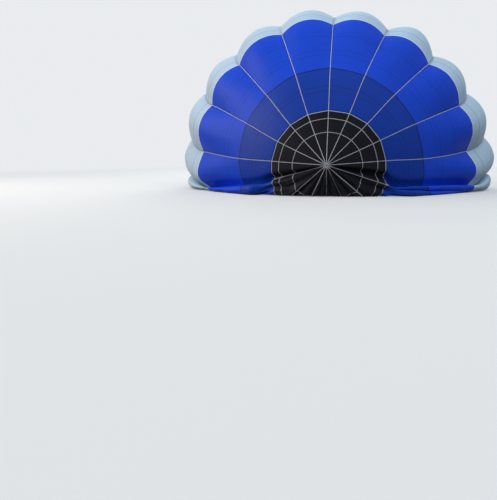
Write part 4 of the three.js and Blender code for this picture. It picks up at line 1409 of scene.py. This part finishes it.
class BALLOON_OT_trim(bpy.types.Operator):
    """Make the padded rim with its lacing, the scuff band, the floor and the skids"""

    bl_idname = "balloon.trim"
    bl_label = "Rim, band and floor"

    def execute(self, context):
        settings = context.scene.balloon_basket
        suede = leather_material("rim_suede", settings.suede, 240.0)
        self.make_rim(suede, settings)
        self.make_scuff_band(suede)
        timber = timber_material(settings)
        refinish("basket_floor", timber)
        bm = bmesh.new()
        half = BASKET_LENGTH / 2 - BASKET_CORNER
        for y in SKID_PLACES:
            add_block(bm, (-half, y - 0.03, 0), (half, y + 0.03, 0.0445), 0.008)
            for x in (-0.7, 0, 0.7):
                add_rod(bm, (x, y, 0.0), (x, y, -0.0005), 0.011, 12)
        skids = [f"skid_{i}" for i in range(1, 4)]
        laid_down("runner_skids", bm, timber, "timber", skids, faceted=True)
        return {"FINISHED"}

    def make_rim(self, suede, settings):
        """The padded rim and the lacing that ties it to the canes."""
        around = round_length(*WALL_PATH)
        laces = 56
        centre = WALL_TOP + 0.0005 + RIM_HEIGHT / 2

        def rim_point(distance, angle, wide, tall):
            spot, out = round_path(distance, *WALL_PATH)
            reach, rise = oval_point(angle, wide, tall)
            return beside(spot, out, reach, centre + rise)

        def place(u, v):
            pinch = 1 - 0.05 * exp(-((((v * laces) % 1 - 0.5) / 0.12) ** 2))
            return rim_point(around * v, 2 * pi * u, 0.0395 * pinch, 0.038 * pinch)

        bm = bmesh.new()
        carried_grid(bm, 20, laces * 8, place)
        rim = laid_down("padded_rim", bm, suede, "suede", ["basket_rim"])
        bm = bmesh.new()
        for i in range(laces):
            middle = around * (i + 0.5) / laces
            loop = [rim_point(middle + 0.012 * sin(t), t, 0.04, 0.0385) for t in circle_turns(20)]
            add_tube(bm, loop, 0.0028, 5, closed=True)
        lace = leather_material("lacing", [min(c * 2.5, 1) for c in settings.suede], 400.0)
        laid_down("rim_lacing", bm, lace, "suede", ["basket_rim"])

    def make_scuff_band(self, suede):
        """The band of hide round the foot of the wall."""
        size = (BASKET_LENGTH + RIM_OVERHANG, BASKET_DEPTH + RIM_OVERHANG, BASKET_CORNER + RIM_OVERHANG / 2)
        around = round_length(*size)
        middle = (SCUFF_BOTTOM + SCUFF_TOP) / 2
        half = (SCUFF_TOP - SCUFF_BOTTOM) / 2

        def place(u, v):
            spot, out = round_path(around * v, *size)
            section = square_point(2 * pi * u, 0.86)
            reach = section.x * (0.0102 + 0.0004 * sin(v * 2 * pi * 34))
            return beside(spot, out, reach, middle + section.y * half)

        bm = bmesh.new()
        carried_grid(bm, 24, 320, place)
        laid_down("scuff_hide", bm, suede, "suede", ["scuff_band"])


def add_cylinder(bodies, straps, brass, x, y):
    """Adds one fuel cylinder, its straps and its valve."""
    foot = (x, y, WALL_BOTTOM)
    add_turned(bodies, CYLINDER_BODY, foot, 56)
    for n in range(3):
        add_turned(bodies, CYLINDER_COLLAR, foot, 12, radians(74), radians(120 * n))
    add_turned(bodies, CYLINDER_RING, foot, 40)
    for z in (0.26, 0.6):
        band = [(0.1518, z), (0.1528, z), (0.1528, z + 0.05), (0.1518, z + 0.05), (0.1518, z)]
        add_turned(straps, band, foot, 56)
    foot = Vector(foot)
    add_rod(brass, foot + Vector((0, 0, 0.828)), foot + Vector((0, 0, 0.87)), 0.016, 12)
    add_rod(brass, foot + Vector((0, 0, 0.85)), foot + Vector((0.05, 0, 0.85)), 0.01, 10)
    add_turned(brass, VALVE_KNOB, foot, 18)


class BALLOON_OT_cylinders(bpy.types.Operator):
    """Make the four fuel cylinders"""

    bl_idname = "balloon.cylinders"
    bl_label = "Fuel cylinders"

    def execute(self, context):
        settings = context.scene.balloon_basket
        metal = brushed_metal("cylinder_aluminium", settings.aluminium, 0.38, (1, 0.12, 1))
        strap = webbing_material("strap_webbing", (0.05, 0.05, 0.055), 0.6)
        brass = brushed_metal("valve_brass", context.scene.balloon_burners.brass, 0.35)
        bodies, straps, valves = bmesh.new(), bmesh.new(), bmesh.new()
        for side_x, side_y in CORNERS:
            add_cylinder(bodies, straps, valves, side_x * CYLINDER_X, side_y * CYLINDER_Y)
        nodes = [f"fuel_cylinder_{i}" for i in range(1, 5)]
        laid_down("cylinder_bodies", bodies, metal, "aluminium", nodes)
        laid_down("cylinder_straps", straps, strap, "tape")
        laid_down("cylinder_valves", valves, brass, "aluminium")
        return {"FINISHED"}


def cover_radius(share):
    """The radius of a rod's padded cover at a share of its length."""
    quilt = 0.0012 * abs(sin(share * pi * 9))
    return ROD_RADIUS * mix(0.6, 0.95, smooth(min(share, 1 - share) / 0.05)) + quilt


class BALLOON_OT_uprights(bpy.types.Operator):
    """Make the padded covers of the four rods"""

    bl_idname = "balloon.uprights"
    bl_label = "Padded rods"

    def execute(self, context):
        settings = context.scene.balloon_basket
        cover = leather_material("cover_cloth", settings.padding, 500.0)
        for i, (side_x, side_y) in enumerate(CORNERS):
            foot = Vector((side_x * ROD_FOOT[0], side_y * ROD_FOOT[1], ROD_FOOT[2]))
            head = Vector((side_x * ROD_HEAD[0], side_y * ROD_HEAD[1], ROD_HEAD[2]))
            bm = bmesh.new()
            add_tube(bm, [foot.lerp(head, n / 60) for n in range(61)], cover_radius, 20)
            piece = laid_down(f"rod_cover_{i + 1}", bm, cover, "padding", [f"upright_{i + 1}"])
        return {"FINISHED"}


# Burners.


class BALLOON_OT_burners(bpy.types.Operator):
    """Make the two burners and finish their frame, gimbal and beam"""

    bl_idname = "balloon.burners"
    bl_label = "Burners"

    def execute(self, context):
        settings = context.scene.balloon_burners
        steel = brushed_metal("frame_stainless", settings.stainless, 0.3, (0.2, 1, 1))
        coil = brushed_metal("coil_steel", settings.coil, 0.32, tint=(0.3, 0.2, 0.26))
        brass = brushed_metal("jet_brass", settings.brass, 0.35)
        for name in ("burner_frame", "gimbal", "burner_beam"):
            refinish(name, steel)
        for name, side in (("left", -1), ("right", 1)):
            at = Vector((side * CAN_X, 0, CAN_BOTTOM))
            self.make_coil(name, at, settings.turns, coil)
            self.make_can(name, at, steel)
            self.make_jets(name, at, brass)
        return {"FINISHED"}

    def make_coil(self, name, at, turns, coil):
        """The coil of one burner, with the three bars that hold it."""
        start, end = 0.03, CAN_HEIGHT - 0.014
        steps = turns * 28
        helix = []
        for i in range(steps + 1):
            turn = 2 * pi * turns * i / steps
            helix.append(on_circle(at, COIL_RADIUS, turn, mix(start, end, i / steps)))
        bm = bmesh.new()
        add_tube(bm, helix, 0.0066, 7)
        for n in range(3):
            angle = 2 * pi * n / 3 + 0.5
            foot = on_circle(at, 0.1415, angle, 0.028)
            add_rod(bm, foot, foot + Vector((0, 0, CAN_HEIGHT - 0.04)), 0.004, 8)
        laid_down(f"coil_{name}", bm, coil, "stainless", [f"burner_{name}"], "burners")

    def make_can(self, name, at, steel):
        """The can of one burner, its stem and the arms under its jets."""
        bm = bmesh.new()
        add_turned(bm, CAN_WALL, at, 48)
        add_rod(bm, at - Vector((0, 0, 0.0695)), at + Vector((0, 0, 0.03)), 0.02, 16)
        for n in range(3):
            arm = on_circle(at, 0.138, 2 * pi * n / 3 + pi / 2, 0.02)
            add_rod(bm, at + Vector((0, 0, 0.02)), arm, 0.008, 10)
        laid_down(f"can_{name}", bm, steel, "stainless", [f"burner_{name}"], "burners")

    def make_jets(self, name, at, brass):
        """The ring of one burner with its jets."""
        bm = bmesh.new()
        ring = [on_circle(at, JET_RING, t, 0.028) for t in circle_turns(36)]
        add_tube(bm, ring, 0.008, 10, closed=True)
        for t in circle_turns(18):
            jet = on_circle(at, JET_RING, t, 0.034)
            add_rod(bm, jet, jet + Vector((0, 0, 0.012)), 0.004, 8, 0.0025)
        laid_down(f"jets_{name}", bm, brass, "stainless", [f"burner_{name}"], "burners")


# Stage.

SURROUND = 0.88  # brightness of the studio's surround
FLOOR_RADIUS = 900
FLOOR_FADE = (22, 75)  # distances between which the floor fades into the surround
# Columns: name, place, size, power in watts, colour, whether it shows in reflections.
LIGHTS = (
    ("key", (-48, -20, 24), 34, 12500, (1.0, 0.9, 0.84), True),
    ("top", (14, -30, 48), 34, 8500, (0.78, 0.91, 1.0), False),
    ("back", (-6, 44, 40), 40, 17000, (0.82, 0.93, 1.0), False),
)


class BALLOON_OT_stage(bpy.types.Operator):
    """Make the floor, the lights and the camera"""

    bl_idname = "balloon.stage"
    bl_label = "Stage"

    def execute(self, context):
        settings = context.scene.balloon_stage
        scene = context.scene
        scene.view_settings.view_transform = "Standard"
        self.make_floor(settings)
        self.make_surround(settings)
        for name, place, size, power, tint, glossy in LIGHTS:
            data = bpy.data.lights.new(name, "AREA")
            data.size = size
            data.energy = power
            data.color = tint
            lamp = bpy.data.objects.new(name, data)
            lamp.location = place
            lamp.visible_glossy = glossy
            lamp.rotation_euler = (Vector((0, 0, 3)) - Vector(place)).to_track_quat("-Z", "Y").to_euler()
            scene.collection.objects.link(lamp)
        data = bpy.data.cameras.new("camera")
        data.lens = settings.lens
        data.sensor_width = 36
        data.clip_end = 1000
        camera = bpy.data.objects.new("camera", data)
        camera.location = Vector(settings.camera_place) + Vector((HUB_X, CROWN_Y, 0))
        turn = Matrix.Rotation(settings.camera_turn, 4, "Z")
        tilt = Matrix.Rotation(pi / 2 - settings.camera_tilt, 4, "X")
        roll = Matrix.Rotation(settings.camera_roll, 4, "Z")
        camera.rotation_euler = (turn @ tilt @ roll).to_euler()
        scene.collection.objects.link(camera)
        scene.camera = camera
        return {"FINISHED"}

    def make_surround(self, settings):
        """A pale surround that gives less light than it shows."""
        world = bpy.data.worlds.new("studio")
        world.use_nodes = True
        nodes = Nodes(world.node_tree)
        seen = nodes.tree.nodes["Background"]
        seen.inputs["Color"].default_value = (*settings.sky, 1)
        seen.inputs["Strength"].default_value = SURROUND
        direction = nodes.add("TexCoord").outputs["Generated"]
        height = nodes.add("SeparateXYZ", {0: direction}).outputs["Z"]
        strength = nodes.fade(height, -0.1, 0.3, 0.04, 0.52)
        given = nodes.add("Background", {"Color": (0.8, 0.91, 1.0, 1), "Strength": strength})
        nodes.blend(nodes.add("LightPath").outputs["Is Camera Ray"], given, seen, "World Output")
        bpy.context.scene.world = world

    def make_floor(self, settings):
        """A floor that fades into the surround far out."""
        bm = bmesh.new()
        bmesh.ops.create_circle(bm, cap_ends=True, segments=96, radius=FLOOR_RADIUS)
        mesh = bpy.data.meshes.new("floor")
        bm.to_mesh(mesh)
        bm.free()
        floor_object = bpy.data.objects.new("floor", mesh)
        bpy.context.scene.collection.objects.link(floor_object)
        floor_object.visible_diffuse = False
        look = Look("floor", Roughness=0.9, Specular_IOR_Level=0.2)
        look.colour(look.mix(look.noise(0.2), [c * 0.985 for c in settings.floor], list(settings.floor)))
        glow = look.add("Emission", {"Color": (*settings.sky, 1), "Strength": SURROUND})
        coordinates = look.add("TexCoord").outputs["Object"]
        reach = look.add("VectorMath", {0: coordinates}, operation="LENGTH").outputs["Value"]
        look.blend(look.fade(reach, *FLOOR_FADE, 0.3, 1), look.shader, glow, "Material Output")
        mesh.materials.append(look.material)


OPERATORS = (
    BALLOON_OT_stage,
    BALLOON_OT_gores,
    BALLOON_OT_valve,
    BALLOON_OT_tapes,
    BALLOON_OT_skirt,
    BALLOON_OT_wires,
    BALLOON_OT_basket,
    BALLOON_OT_trim,
    BALLOON_OT_cylinders,
    BALLOON_OT_uprights,
    BALLOON_OT_burners,
)


class BALLOON_PT_pieces(bpy.types.Panel):
    """The balloon's pieces"""

    bl_label = "Balloon"
    bl_space_type = "VIEW_3D"
    bl_region_type = "UI"
    bl_category = "Balloon"

    def draw(self, context):
        for operator in OPERATORS:
            self.layout.operator(operator.bl_idname)


CLASSES = (EnvelopeSettings, BasketSettings, BurnerSettings, StageSettings, *OPERATORS, BALLOON_PT_pieces)


SETTINGS = {
    "balloon_envelope": EnvelopeSettings,
    "balloon_basket": BasketSettings,
    "balloon_burners": BurnerSettings,
    "balloon_stage": StageSettings,
}


def register():
    for made in CLASSES:
        bpy.utils.register_class(made)
    for name, group in SETTINGS.items():
        setattr(bpy.types.Scene, name, PointerProperty(type=group))


def unregister():
    for name in SETTINGS:
        delattr(bpy.types.Scene, name)
    for made in reversed(CLASSES):
        bpy.utils.unregister_class(made)


def main():
    """Makes every piece."""
    register()
    bpy.ops.balloon.stage()
    bpy.ops.balloon.gores()
    bpy.ops.balloon.valve()
    bpy.ops.balloon.tapes()
    bpy.ops.balloon.skirt()
    bpy.ops.balloon.wires()
    bpy.ops.balloon.basket()
    bpy.ops.balloon.trim()
    bpy.ops.balloon.cylinders()
    bpy.ops.balloon.uprights()
    bpy.ops.balloon.burners()


if __name__ == "__main__":
    main()
